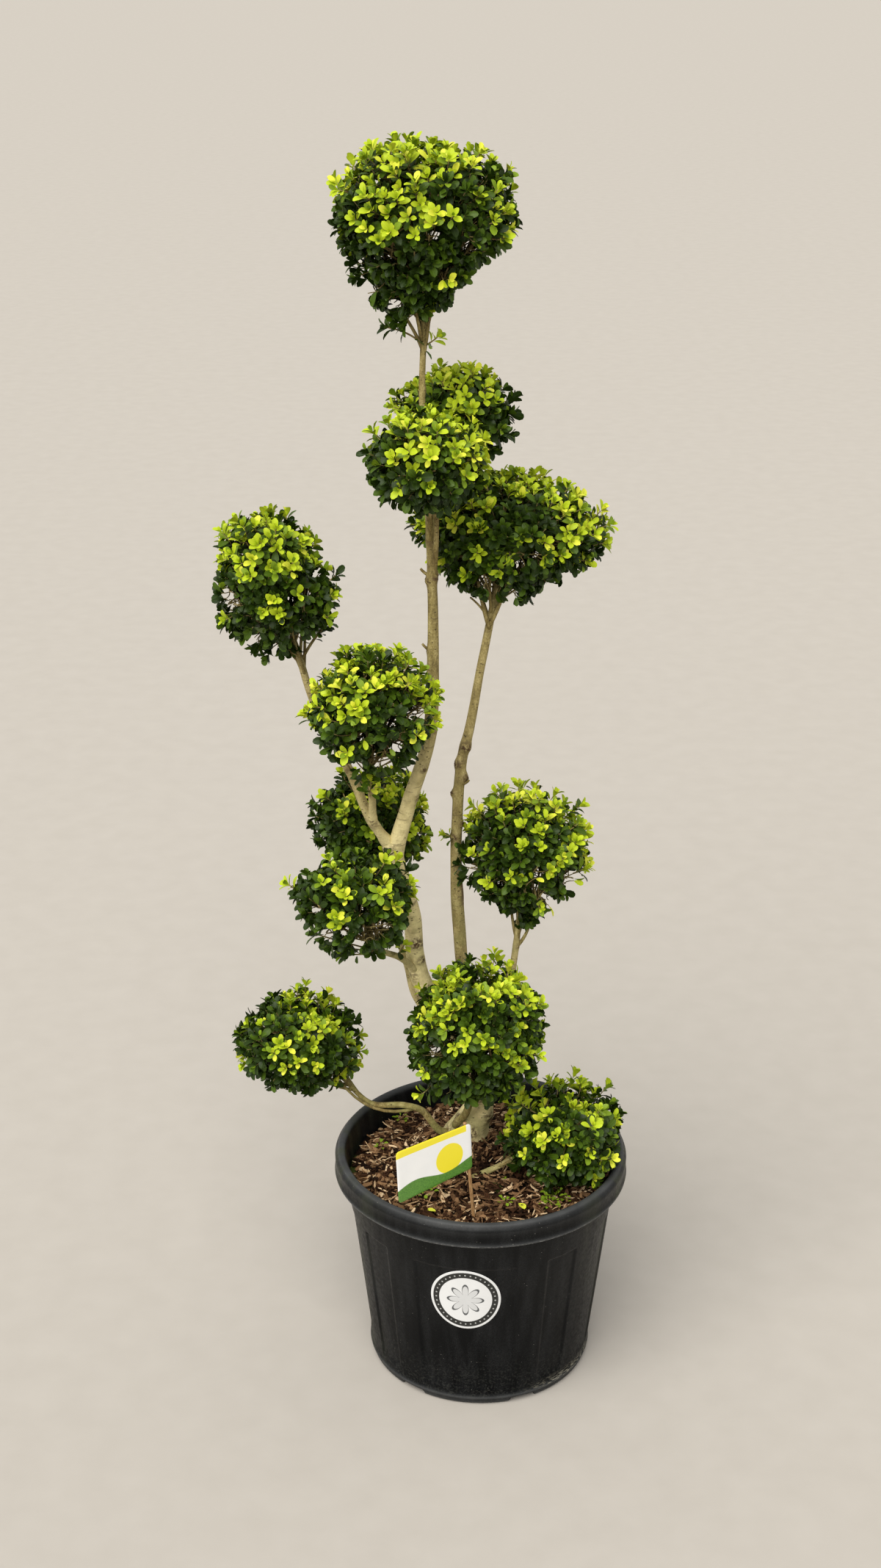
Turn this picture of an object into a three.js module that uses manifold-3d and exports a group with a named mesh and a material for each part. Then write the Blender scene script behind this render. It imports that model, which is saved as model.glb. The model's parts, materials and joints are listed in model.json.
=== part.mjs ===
// A cloud-pruned small-leaved holly: one branching trunk with twelve clipped balls, in a nursery pot.
// Units are millimetres and +Z is up. The side that the photograph shows looks to -Y.
// The origin is the middle of the pot's flat underside.

import * as THREE from 'three';
import { mergeVertices } from 'three/addons/utils/BufferGeometryUtils.js';
import Module from 'manifold-3d';

const wasm = await Module();
wasm.setup();

// Sizes shared by several pieces
const touchGap = 0.3;
const mergeTolerance = 1e-4;
const goldenAngle = Math.PI * (3 - Math.sqrt(5));

// The pot
const rimRadius = 210;
const potHeight = 333;
const mouthRadius = 193.5;
const footRadius = 158.5;
const wallSlope = 0.118;
const wallThickness = 3.5;
const floorThickness = 6;
const footRound = 8;
const footRoundRise = 3;
const footBandHeight = 12;
const bandDepth = 34;
const bandThickness = 3.5;
const bandBevel = 2;
const bandCrown = 15;
const rollThickness = 7;
const rollRound = 8.5;
const mouthRound = 2.5;
const potSides = 48;
const drainCount = 6;
const drainFirstAngle = THREE.MathUtils.degToRad(-38);
const drainWidth = 42;
const drainHeight = 4;
const drainDepth = 12;

// The bark mulch, which rises to a level patch round the trunk's foot
const trunkFoot = new THREE.Vector2(-18, 55);
const mulchWallHeight = 290;
const mulchFootHeight = 316;
const mulchPatchRadius = 50;
const mulchFallEnd = 0.5;
const mulchSides = potSides / 2;
const mulchRings = 8;
const mulchRoughness = 2.2;
const mulchSeed = 5;

// The round sticker on the pot and the card on its cane
const stickerRadius = 50;
const stickerThickness = 0.5;
const stickerSides = 18;
const stickerRings = 3;
const stickerHeight = 188;
const stickerTurn = THREE.MathUtils.degToRad(-7.5);
const cardWidth = 120;
const cardHeight = 72;
const cardThickness = 1;
const cardCorner = 5;
const cardTopRight = new THREE.Vector3(-17, -135, 450);
const cardYaw = THREE.MathUtils.degToRad(33);
const cardRoll = THREE.MathUtils.degToRad(-3);
const caneRadius = 2.6;
const caneLength = 172;
const caneRise = 2;
const caneInset = 7;
const caneLean = 17;
const caneSides = 8;

// Limbs. Each starts on its parent's middle line at a height, or at a place of its own, passes the
// points given by hand and ends where it enters the ball that it carries, or at the last point.
const limbSides = 7;
const limbStep = 42;
const flareDecay = 22;
const heightSamples = 200;
const clearanceSamples = 60;
const limbs = [
  { name: 'trunk', root: [-18, 55, mulchFootHeight + touchGap],
    via: [[0, 50, 404], [-88, 45, 585], [-99, 43, 685], [-126, 40, 787]],
    rootRadius: 21, tipRadius: 11.5, settle: 1.8, flare: 15 },
  { name: 'leader_stem', parent: 'trunk', height: 787, ball: 'foliage_top',
    via: [[-102, 39, 846], [-73, 37, 951], [-68, 36, 1090], [-71, 33, 1230], [-81, 30, 1404]],
    rootRadius: 11.5, tipRadius: 3.8, settle: 1.3 },
  { name: 'far_left_bough', parent: 'trunk', height: 782, ball: 'foliage_far_left',
    via: [[-155, 40, 829], [-182, 42, 897], [-228, 45, 995]],
    rootRadius: 7.2, tipRadius: 4.6 },
  { name: 'mid_left_bough', parent: 'far_left_bough', height: 822, ball: 'foliage_mid_left',
    via: [[-151, 25, 866], [-154, 0, 905]],
    rootRadius: 5.4, tipRadius: 4 },
  { name: 'right_trunk', parent: 'trunk', height: 405, ball: 'foliage_upper_right',
    via: [[-28, 60, 600], [-36, 68, 767], [-29, 77, 896], [-18, 82, 943], [-5, 92, 1018]],
    rootRadius: 10.5, tipRadius: 4.8, settle: 0.8 },
  { name: 'right_ball_stem', parent: 'trunk', height: 392, ball: 'foliage_right',
    via: [[30, 57, 490], [46, 58, 601]],
    rootRadius: 7, tipRadius: 4.2 },
  { name: 'back_left_stem', parent: 'trunk', height: 470, ball: 'foliage_back_left',
    via: [[-91, 54, 539], [-106, 64, 590], [-131, 90, 663]],
    rootRadius: 5, tipRadius: 3.8 },
  { name: 'lower_left_bough', parent: 'trunk', height: 588, ball: 'foliage_lower_left',
    via: [[-114, 15, 626], [-142, -18, 656]],
    rootRadius: 5.5, tipRadius: 3.4 },
  { name: 'front_stem', parent: 'trunk', height: 336, ball: 'foliage_middle',
    via: [[-36, 32, 347], [-22, 22, 370], [-15, 4, 409]],
    rootRadius: 6, tipRadius: 4.6 },
  { name: 'low_left_branch', parent: 'trunk', height: 324, ball: 'foliage_low_left',
    via: [[-57, 42, 330], [-86, 40, 366], [-111, 42, 373], [-159, 48, 373]],
    rootRadius: 6, tipRadius: 3.2 },
  { name: 'low_right_branch', root: [-14, -42, 299], ball: 'foliage_low_right',
    via: [[4, -39, 310], [24, -36, 319]],
    rootRadius: 5, tipRadius: 3.6, inMulch: true },
  { name: 'upper_front_bough', parent: 'leader_stem', height: 1222, ball: 'foliage_upper_front',
    via: [[-72, 12, 1262]],
    rootRadius: 5, tipRadius: 3.6 },
  { name: 'upper_back_bough', parent: 'leader_stem', height: 1266, ball: 'foliage_upper_back',
    via: [[-64, 52, 1306]],
    rootRadius: 4.4, tipRadius: 3.2 },
];

// Clipped balls: centre, half sizes to the tips of the leaves, and how much the lower half draws in.
// A draw power under 1 narrows the ball evenly from its middle down, a larger one only near its foot.
const balls = [
  { name: 'foliage_top', centre: [-77, 32, 1612], half: [118, 110, 123], drawIn: 0.58, drawPower: 0.6 },
  { name: 'foliage_upper_back', centre: [-38, 120, 1366], half: [82, 74, 71], drawIn: 0.1, drawPower: 1.5 },
  { name: 'foliage_upper_front', centre: [-76, -50, 1345], half: [84, 76, 69], drawIn: 0.15, drawPower: 1.5 },
  { name: 'foliage_upper_right', centre: [31, 125, 1200], half: [138, 100, 91], drawIn: 0.3, drawPower: 0.7 },
  { name: 'foliage_far_left', centre: [-276, 42, 1164], half: [88, 82, 106], drawIn: 0.2, drawPower: 1.5 },
  { name: 'foliage_mid_left', centre: [-148, -50, 1007], half: [95, 84, 94], drawIn: 0.75, drawPower: 1.5 },
  { name: 'foliage_back_left', centre: [-157, 130, 785], half: [84, 76, 75], drawIn: 0.1, drawPower: 1.5 },
  { name: 'foliage_lower_left', centre: [-174, -55, 741], half: [91, 82, 69], drawIn: 0.2, drawPower: 1.5 },
  { name: 'foliage_low_left', centre: [-259, 62, 469], half: [97, 88, 72], drawIn: 0.1, drawPower: 1.5 },
  { name: 'foliage_middle', centre: [-6, -58, 546], half: [100, 88, 112], drawIn: 0.1, drawPower: 1.5 },
  { name: 'foliage_right', centre: [62, 55, 758], half: [89, 83, 105], drawIn: 0.9, drawPower: 1.9 },
  { name: 'foliage_low_right', centre: [119, -30, 372], half: [90, 83, 75], drawIn: 0.1, drawPower: 1.5 },
];
const boxiness = 2.3;
const coreDetail = 1;
const entrySteps = 200;

// Sprigs: three-sided twigs that end in a few leaves, each leaf standing for a rosette of real ones
const sprigsPerBall = 14;
const twigRootRadius = 2.6;
const twigTipRadius = 1.3;
const twigSides = 3;
const heartShare = 0.45;
const steep = 0.8;
const leafLength = 36;
const leafWidth = 21;
const leafThickness = 1.8;
const leafWidest = 0.56;
const leafSink = 1;
const leafTilts = [32, 44, 55, 66].map(THREE.MathUtils.degToRad);
const leafSpacing = 6;
const sprigInset = 27;
const coreInset = 22;
const coreLumps = 7;
const lumpWaves = [5, 4, 6];
const leafClearance = 2;
const leafFloor = mulchWallHeight + 10;
const outlineSlack = 1.02;

// The stem that each ball has of its own, which carries on from its bough
const stemSides = 5;
const stemReach = 0.8;
const stemRootShare = 0.9;
const stemTipShare = 0.7;

const finishes = {
  potPlastic: { color: 0x1d1f21, roughness: 0.42, metalness: 0 },
  mulch: { color: 0x4a2f1e, roughness: 0.95, metalness: 0 },
  sticker: { color: 0xe9e9e6, roughness: 0.5, metalness: 0 },
  card: { color: 0xf1f1ec, roughness: 0.35, metalness: 0 },
  cane: { color: 0xb08a58, roughness: 0.7, metalness: 0 },
  bark: { color: 0xa39a70, roughness: 0.85, metalness: 0 },
  foliage: { color: 0x3f6b2c, roughness: 0.5, metalness: 0 },
};

function finish(name) {
  return new THREE.MeshStandardMaterial(finishes[name]);
}

function vector(point) {
  return new THREE.Vector3(...point);
}

// A repeatable stream of numbers from 0 to 1
function seededRandom(seed) {
  let state = seed;
  return () => {
    state = (state + 0x6d2b79f5) | 0;
    let mixed = Math.imul(state ^ (state >>> 15), 1 | state);
    mixed = (mixed + Math.imul(mixed ^ (mixed >>> 7), 61 | mixed)) ^ mixed;
    return ((mixed ^ (mixed >>> 14)) >>> 0) / 4294967296;
  };
}

function moveVertices(geometry, place) {
  const position = geometry.attributes.position;
  for (let i = 0; i < position.count; i += 1) {
    const moved = place(new THREE.Vector3().fromBufferAttribute(position, i));
    position.setXYZ(i, moved.x, moved.y, moved.z);
  }
  return geometry;
}

function toSolid(geometry) {
  const bare = geometry.clone();
  bare.deleteAttribute('normal');
  bare.deleteAttribute('uv');
  const merged = mergeVertices(bare, mergeTolerance);
  const mesh = new wasm.Mesh({
    numProp: 3,
    vertProperties: new Float32Array(merged.attributes.position.array),
    triVerts: new Uint32Array(merged.index.array),
  });
  return new wasm.Manifold(mesh);
}

function toGeometry(solid) {
  const mesh = solid.getMesh();
  const geometry = new THREE.BufferGeometry();
  geometry.setAttribute('position', new THREE.BufferAttribute(mesh.vertProperties, 3));
  geometry.setIndex(new THREE.BufferAttribute(mesh.triVerts, 1));
  geometry.computeVertexNormals();
  return geometry;
}

function largestPiece(solid) {
  return solid.decompose().reduce((best, piece) => (piece.volume() > best.volume() ? piece : best));
}

// The pot

function wallRadius(height) {
  return footRadius + wallSlope * height;
}

function potProfile() {
  const bandFoot = potHeight - bandDepth;
  const channelTop = potHeight - rollThickness;
  const lip = rimRadius - bandThickness;
  const outline = [
    [0, 0],
    [footRadius - footRound, 0],
    [wallRadius(footRoundRise) - bandBevel, footRoundRise],
    [wallRadius(footBandHeight), footBandHeight],
    [wallRadius(channelTop), channelTop],
    [lip - bandBevel, channelTop],
    [lip - bandBevel, bandFoot],
    [lip + touchGap, bandFoot - touchGap],
    [rimRadius - touchGap, bandFoot + rollThickness],
    [rimRadius, potHeight - bandCrown],
    [rimRadius - rollRound / 3, potHeight - rollRound / 2],
    [rimRadius - rollRound, potHeight],
    [mouthRadius + mouthRound, potHeight - mouthRound / 2],
    [mouthRadius, channelTop],
    [wallRadius(mulchWallHeight) - wallThickness, mulchWallHeight],
    [wallRadius(floorThickness) - wallThickness, floorThickness],
    [0, floorThickness],
  ];
  return outline.map(([radius, height]) => new THREE.Vector2(radius, height));
}

// LatheGeometry turns its profile about Y, so it is stood up to turn about Z
function lathe(profile, sides) {
  return new THREE.LatheGeometry(profile, sides).rotateX(Math.PI / 2);
}

function drainNotch(index) {
  const angle = drainFirstAngle + index * 2 * Math.PI / drainCount - Math.PI / 2;
  const block = new THREE.BoxGeometry(drainDepth * 2, drainWidth, drainHeight * 2);
  block.translate(footRadius, 0, 0).rotateZ(angle);
  return toSolid(block);
}

function potGeometry() {
  let pot = toSolid(lathe(potProfile(), potSides));
  for (let i = 0; i < drainCount; i += 1) {
    pot = pot.subtract(drainNotch(i));
  }
  return toGeometry(pot);
}

// The mulch

// Height of the mulch's surface where a share of the way from the level patch to the wall is gone
function mulchHeight(share) {
  const fall = THREE.MathUtils.smoothstep(share, 0, mulchFallEnd);
  return THREE.MathUtils.lerp(mulchFootHeight, mulchWallHeight, fall);
}

// The rings of the surface slide from the pot's middle to the trunk's foot as they get smaller
function mulchGeometry(lift) {
  const edge = wallRadius(mulchWallHeight) - wallThickness - 2 * touchGap;
  const bottom = floorThickness + touchGap;
  const bottomRadius = wallRadius(bottom) - wallThickness - 2 * touchGap;
  const profile = [new THREE.Vector2(0, bottom), new THREE.Vector2(bottomRadius, bottom)];
  for (let ring = mulchRings; ring >= 0; ring -= 1) {
    profile.push(new THREE.Vector2(edge * ring / mulchRings, mulchWallHeight));
  }
  const random = seededRandom(mulchSeed);
  const bumps = new Map();
  return moveVertices(lathe(profile, mulchSides), (point) => {
    if (point.z < mulchWallHeight - 1) {
      return point;
    }
    const radius = Math.hypot(point.x, point.y);
    const inward = 1 - radius / edge;
    point.x += trunkFoot.x * inward;
    point.y += trunkFoot.y * inward;
    const share = (radius - mulchPatchRadius) / (edge - mulchPatchRadius);
    const key = `${point.x.toFixed(2)} ${point.y.toFixed(2)}`;
    if (!bumps.has(key)) {
      bumps.set(key, (random() * 2 - 1) * mulchRoughness);
    }
    const bump = share > 0 && share < 1 ? bumps.get(key) : 0;
    point.z = mulchHeight(THREE.MathUtils.clamp(share, 0, 1)) + bump + lift;
    return point;
  });
}

// The sticker and the card

function stickerGeometry() {
  const rings = [0, 1, 2, 3].map((ring) => ring * stickerRadius / stickerRings);
  const front = rings.map((radius) => new THREE.Vector2(radius, stickerThickness));
  const back = rings.map((radius) => new THREE.Vector2(radius, 0)).reverse();
  const disc = new THREE.LatheGeometry([...front, ...back], stickerSides);
  return moveVertices(disc, (point) => {
    const height = stickerHeight + point.z;
    const out = wallRadius(height) + touchGap + point.y;
    const turn = stickerTurn - Math.PI / 2 + point.x / wallRadius(stickerHeight);
    return new THREE.Vector3(out * Math.cos(turn), out * Math.sin(turn), height);
  });
}

// The card's outline has its top right corner at 0, 0, and the card hangs down and to the left of it
function cardGeometry() {
  const left = -cardWidth;
  const bottom = -cardHeight;
  const outline = new THREE.Shape();
  outline.absarc(-cardCorner, -cardCorner, cardCorner, 0, Math.PI / 2);
  outline.absarc(left + cardCorner, -cardCorner, cardCorner, Math.PI / 2, Math.PI);
  outline.absarc(left + cardCorner, bottom + cardCorner, cardCorner, Math.PI, 1.5 * Math.PI);
  outline.absarc(-cardCorner, bottom + cardCorner, cardCorner, 1.5 * Math.PI, 2 * Math.PI);
  const settings = { depth: cardThickness, bevelEnabled: false, curveSegments: 3 };
  return new THREE.ExtrudeGeometry(outline, settings).translate(0, 0, -cardThickness);
}

// The cane stands against the card's back near its right edge, and leans in the card's plane
function caneGeometry(mulchCutter) {
  const left = new THREE.Vector3(-Math.cos(cardYaw), -Math.sin(cardYaw), 0);
  const back = new THREE.Vector3(-Math.sin(cardYaw), Math.cos(cardYaw), 0);
  const top = cardTopRight.clone().addScaledVector(left, caneInset)
    .addScaledVector(back, cardThickness + touchGap + caneRadius);
  top.z += caneRise;
  const foot = top.clone().addScaledVector(left, -caneLean);
  foot.z -= caneLength;
  return toGeometry(rodSolid(foot, top, caneRadius, caneRadius, caneSides).subtract(mulchCutter));
}

// The balls' outline

function drawnIn(ball, level) {
  return 1 - ball.drawIn * Math.max(0, -level) ** ball.drawPower;
}

// The outline's point in a unit direction: a slightly boxy ball whose lower half draws in
function outlinePoint(ball, direction, scale) {
  const powers = direction.toArray().map((part) => Math.abs(part) ** boxiness);
  const norm = (powers[0] + powers[1] + powers[2]) ** (1 / boxiness);
  const level = direction.z / norm;
  const width = drawnIn(ball, level) / norm;
  return new THREE.Vector3(
    ball.centre[0] + scale * ball.half[0] * direction.x * width,
    ball.centre[1] + scale * ball.half[1] * direction.y * width,
    ball.centre[2] + scale * ball.half[2] * level,
  );
}

function insideBall(ball, point, scale) {
  const level = (point.z - ball.centre[2]) / (ball.half[2] * scale);
  if (Math.abs(level) >= 1) {
    return false;
  }
  const width = drawnIn(ball, level) * scale;
  const across = Math.abs((point.x - ball.centre[0]) / (ball.half[0] * width));
  const along = Math.abs((point.y - ball.centre[1]) / (ball.half[1] * width));
  return across ** boxiness + along ** boxiness + Math.abs(level) ** boxiness < 1;
}

// Where a limb that comes from a point enters the ball on its way to the ball's middle
function entryPoint(ball, from) {
  const centre = vector(ball.centre);
  const place = from.clone();
  for (let i = 0; i < entrySteps && !insideBall(ball, place, 1); i += 1) {
    place.lerpVectors(from, centre, i / entrySteps);
  }
  return place;
}

// Limbs

function curveOf(limb) {
  return new THREE.CatmullRomCurve3(limb.points, false, 'centripetal');
}

function pointAtHeight(limb, height) {
  const places = limb.curve.getSpacedPoints(heightSamples);
  return places.reduce((best, place) => (
    Math.abs(place.z - height) < Math.abs(best.z - height) ? place : best));
}

function layOutLimbs() {
  const laid = new Map();
  for (const limb of limbs) {
    const start = limb.parent ? pointAtHeight(laid.get(limb.parent), limb.height) : vector(limb.root);
    const points = [start, ...limb.via.map(vector)];
    const ball = balls.find((candidate) => candidate.name === limb.ball);
    if (ball) {
      points.push(entryPoint(ball, points.at(-1)));
    }
    const placed = { settle: 1, flare: 0, ...limb, points, ballEntered: ball };
    placed.curve = curveOf(placed);
    laid.set(limb.name, placed);
  }
  return [...laid.values()];
}

function limbRadius(limb, share) {
  const taper = (1 - share) ** limb.settle;
  const flare = limb.flare * Math.exp(-share * limb.curve.getLength() / flareDecay);
  return THREE.MathUtils.lerp(limb.tipRadius, limb.rootRadius, taper) + flare;
}

// A cylinder bent along the limb's curve and given the limb's taper
function limbGeometry(limb, grow) {
  const steps = Math.ceil(limb.curve.getLength() / limbStep);
  const places = limb.curve.getSpacedPoints(steps);
  const frames = limb.curve.computeFrenetFrames(steps);
  const tube = new THREE.CylinderGeometry(1, 1, 1, limbSides, steps);
  return moveVertices(tube, (point) => {
    const share = point.y + 0.5;
    const ring = Math.round(share * steps);
    const radius = limbRadius(limb, share) + grow;
    return places[ring].clone()
      .addScaledVector(frames.binormals[ring], point.x * radius)
      .addScaledVector(frames.normals[ring], point.z * radius);
  });
}

function flattenRoot(geometry, height) {
  return moveVertices(geometry, (point) => {
    point.z = Math.max(point.z, height);
    return point;
  });
}

// Foliage

function clearOfLimbs(laidLimbs, point) {
  return laidLimbs.every((limb) => limb.samples.every((sample, i) => {
    const room = limbRadius(limb, i / (limb.samples.length - 1)) + leafClearance;
    return sample.distanceTo(point) > room;
  }));
}

function clearOfPot(point) {
  const radius = Math.hypot(point.x, point.y);
  const pastRim = radius > rimRadius + leafClearance;
  const overRim = point.z > potHeight + leafClearance;
  const insideWall = radius < wallRadius(point.z) - wallThickness - leafClearance;
  return pastRim || overRim || (insideWall && point.z > leafFloor);
}

function clearOfBalls(ball, point) {
  return balls.every((other) => other === ball || !insideBall(other, point, 1));
}

function leafPoints(root, along, side) {
  const tip = root.clone().addScaledVector(along, leafLength - leafSink);
  const middle = root.clone().addScaledVector(along, leafLength * leafWidest - leafSink);
  return [tip, middle.clone().addScaledVector(side, leafWidth / 2),
    middle.clone().addScaledVector(side, -leafWidth / 2)];
}

// A leaf is a flat diamond of eight faces, widest past its middle, whose root is sunk behind its seat
function leafSolid(root, along, side) {
  const up = new THREE.Vector3().crossVectors(along, side);
  const turn = new THREE.Matrix4().makeBasis(along, side, up);
  const leaf = new THREE.OctahedronGeometry(1);
  leaf.scale(leafLength / 2, leafWidth / 2, leafThickness / 2);
  moveVertices(leaf, (point) => {
    const onMiddle = Math.abs(point.x) < 1;
    point.x += (onMiddle ? leafLength * leafWidest : leafLength / 2) - leafSink;
    return point;
  });
  leaf.applyMatrix4(turn).translate(root.x, root.y, root.z);
  return toSolid(leaf);
}

function rodSolid(from, to, rootRadius, tipRadius, sides) {
  const axis = new THREE.Vector3().subVectors(to, from);
  const rod = new THREE.CylinderGeometry(tipRadius, rootRadius, axis.length(), sides);
  const middle = new THREE.Vector3().addVectors(from, to).multiplyScalar(0.5);
  const turn = new THREE.Quaternion().setFromUnitVectors(new THREE.Vector3(0, 1, 0), axis.normalize());
  rod.applyQuaternion(turn).translate(middle.x, middle.y, middle.z);
  return toSolid(rod);
}

// The outline's scale at a depth below its nearest side
function scaleAtDepth(ball, depth) {
  return 1 - depth / Math.min(...ball.half);
}

function coreSolid(ball) {
  const core = new THREE.IcosahedronGeometry(1, coreDetail);
  return toSolid(moveVertices(core, (point) => {
    const direction = point.normalize();
    const lump = Math.sin(lumpWaves[0] * direction.x + ball.centre[0])
      * Math.cos(lumpWaves[1] * direction.y + ball.centre[2])
      * Math.sin(lumpWaves[2] * direction.z + ball.centre[1]);
    return outlinePoint(ball, direction, scaleAtDepth(ball, coreInset - coreLumps * lump));
  }));
}

// Directions spread evenly over a sphere, turned by the ball's own seed
function sprigDirection(index, turn) {
  const level = 1 - 2 * (index + 0.5) / sprigsPerBall;
  const width = Math.sqrt(1 - level * level);
  const angle = index * goldenAngle + turn;
  return new THREE.Vector3(width * Math.cos(angle), width * Math.sin(angle), level);
}

// One sprig: a twig from the ball's heart, and leaves that turn round its end by the golden angle
function sprigSolids(ball, direction, random, isClear) {
  const tip = outlinePoint(ball, direction, scaleAtDepth(ball, sprigInset));
  const heart = outlinePoint(ball, direction, heartShare);
  const axis = new THREE.Vector3().subVectors(tip, heart).normalize();
  if (!isClear(tip)) {
    return [];
  }
  const solids = [rodSolid(heart, tip, twigRootRadius, twigTipRadius, twigSides)];
  const helper = Math.abs(axis.z) > steep ? new THREE.Vector3(1, 0, 0) : new THREE.Vector3(0, 0, 1);
  const across = new THREE.Vector3().crossVectors(axis, helper).normalize();
  const firstTurn = random() * 2 * Math.PI;
  leafTilts.forEach((tilt, i) => {
    const around = across.clone().applyAxisAngle(axis, firstTurn + i * goldenAngle);
    const along = axis.clone().multiplyScalar(Math.cos(tilt)).addScaledVector(around, Math.sin(tilt));
    const side = new THREE.Vector3().crossVectors(along, axis).normalize();
    const root = tip.clone().addScaledVector(axis, -leafSink - i * leafSpacing);
    if (leafPoints(root, along, side).every(isClear)) {
      solids.push(leafSolid(root, along, side));
    }
  });
  return solids;
}

// The ball's own stem runs from just inside the bough's tip to the core
function stemSolid(ball, limb) {
  const tip = limb.points.at(-1);
  const inward = vector(ball.centre).sub(tip).normalize();
  const from = tip.clone().addScaledVector(limb.curve.getTangentAt(1), touchGap);
  const to = tip.clone().addScaledVector(inward, vector(ball.centre).distanceTo(tip) * stemReach);
  return rodSolid(from, to, limb.tipRadius * stemRootShare, limb.tipRadius * stemTipShare, stemSides);
}

function ballSolid(ball, seed, laidLimbs, limbCutter) {
  const random = seededRandom(seed);
  const turn = random() * 2 * Math.PI;
  const isClear = (point) => insideBall(ball, point, outlineSlack) && clearOfLimbs(laidLimbs, point)
    && clearOfPot(point) && clearOfBalls(ball, point);
  const limb = laidLimbs.find((candidate) => candidate.ballEntered === ball);
  let solid = coreSolid(ball).add(stemSolid(ball, limb));
  for (let i = 0; i < sprigsPerBall; i += 1) {
    for (const piece of sprigSolids(ball, sprigDirection(i, turn), random, isClear)) {
      solid = solid.add(piece);
    }
  }
  return largestPiece(solid.subtract(limbCutter));
}

// Assembly

const plant = new THREE.Group();

function addMesh(name, geometry, finishName, group = plant) {
  const mesh = new THREE.Mesh(geometry, finish(finishName));
  mesh.name = name;
  group.add(mesh);
  return mesh;
}

function addLimbs(laidLimbs, mulchCutter) {
  let grown = null;
  for (const limb of laidLimbs) {
    let solid = toSolid(limb.parent || limb.inMulch
      ? limbGeometry(limb, 0) : flattenRoot(limbGeometry(limb, 0), limb.points[0].z));
    if (limb.inMulch) {
      solid = solid.subtract(mulchCutter);
    }
    if (grown) {
      solid = solid.subtract(grown);
    }
    addMesh(limb.name, toGeometry(largestPiece(solid)), 'bark');
    const cutter = toSolid(limbGeometry(limb, touchGap));
    grown = grown ? grown.add(cutter) : cutter;
  }
  return grown;
}

function addBall(ball, seed, laidLimbs, limbCutter) {
  const solid = ballSolid(ball, seed, laidLimbs, limbCutter);
  const [x, y, z] = ball.centre;
  const mesh = addMesh(ball.name, toGeometry(solid).translate(-x, -y, -z), 'foliage');
  mesh.position.set(x, y, z);
}

function addLabel(mulchCutter) {
  addMesh('label_cane', caneGeometry(mulchCutter), 'cane');
  const hanger = new THREE.Group();
  hanger.position.copy(cardTopRight);
  hanger.rotation.set(Math.PI / 2, cardRoll, cardYaw, 'ZYX');
  addMesh('label_card', cardGeometry(), 'card', hanger);
  plant.add(hanger);
}

addMesh('pot', potGeometry(), 'potPlastic');
addMesh('pot_sticker', stickerGeometry(), 'sticker');
addMesh('bark_mulch', mulchGeometry(0), 'mulch');
const mulchCutter = toSolid(mulchGeometry(touchGap));
addLabel(mulchCutter);
const laidLimbs = layOutLimbs();
for (const limb of laidLimbs) {
  limb.samples = limb.curve.getSpacedPoints(clearanceSamples);
}
const limbCutter = addLimbs(laidLimbs, mulchCutter);
balls.forEach((ball, index) => addBall(ball, index + 1, laidLimbs, limbCutter));

export default plant;
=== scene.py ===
# %% [markdown]
# A small-leaved holly, clipped into twelve leafy balls on bare stems, in a black nursery pot.
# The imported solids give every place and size. This notebook dresses them: it hides each plain solid
# and puts a fine surface in its place, worked out with numpy as whole arrays. All shapes are in
# millimetres, as on a maker's drawing, and only the last step of each piece turns them to metres.

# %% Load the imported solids
import json
import math

import bpy
import numpy as np
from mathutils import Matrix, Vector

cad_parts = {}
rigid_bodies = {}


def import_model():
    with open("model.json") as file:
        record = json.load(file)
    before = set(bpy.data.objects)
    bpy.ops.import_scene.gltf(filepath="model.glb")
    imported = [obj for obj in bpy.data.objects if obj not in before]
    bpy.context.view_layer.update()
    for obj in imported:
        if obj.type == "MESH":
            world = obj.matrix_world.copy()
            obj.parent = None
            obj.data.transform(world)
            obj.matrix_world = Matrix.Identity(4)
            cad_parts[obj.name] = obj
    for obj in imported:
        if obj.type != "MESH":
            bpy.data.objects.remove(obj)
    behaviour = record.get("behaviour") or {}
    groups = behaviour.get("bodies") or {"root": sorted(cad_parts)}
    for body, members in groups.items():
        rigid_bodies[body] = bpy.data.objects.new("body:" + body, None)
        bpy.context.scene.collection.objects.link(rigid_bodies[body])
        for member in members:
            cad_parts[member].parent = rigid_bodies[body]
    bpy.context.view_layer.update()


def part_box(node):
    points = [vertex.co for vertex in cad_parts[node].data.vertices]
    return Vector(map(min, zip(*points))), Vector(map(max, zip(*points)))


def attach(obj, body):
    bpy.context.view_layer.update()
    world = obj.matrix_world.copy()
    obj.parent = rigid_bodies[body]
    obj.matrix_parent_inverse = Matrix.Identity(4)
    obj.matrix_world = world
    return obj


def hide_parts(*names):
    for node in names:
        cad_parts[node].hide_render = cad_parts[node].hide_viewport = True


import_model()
BODY = "root"
MM = 0.001
GOLDEN_ANGLE = math.pi * (3 - math.sqrt(5))

# %% [markdown]
# The camera stands where the photographer stood: a little left of the pot's middle, 2.7 m in front of
# it and 2 m up, tilted down. The place was worked out from the pot's round edges, which a camera shows
# as ellipses. It could be found by eye too, but then stems and balls would never line up.

# %% The camera
CAMERA_PLACE = (-0.058, -2.700, 2.007)
CAMERA_PITCH = math.radians(22.4)
lens_data = bpy.data.cameras.new("camera")
lens_data.lens = 50
lens_data.sensor_width = 36
camera = bpy.data.objects.new("camera", lens_data)
camera.location = CAMERA_PLACE
camera.rotation_euler = (math.pi / 2 - CAMERA_PITCH, 0, 0)
bpy.context.scene.collection.objects.link(camera)
bpy.context.scene.camera = camera
print("camera height", CAMERA_PLACE[2])

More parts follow.
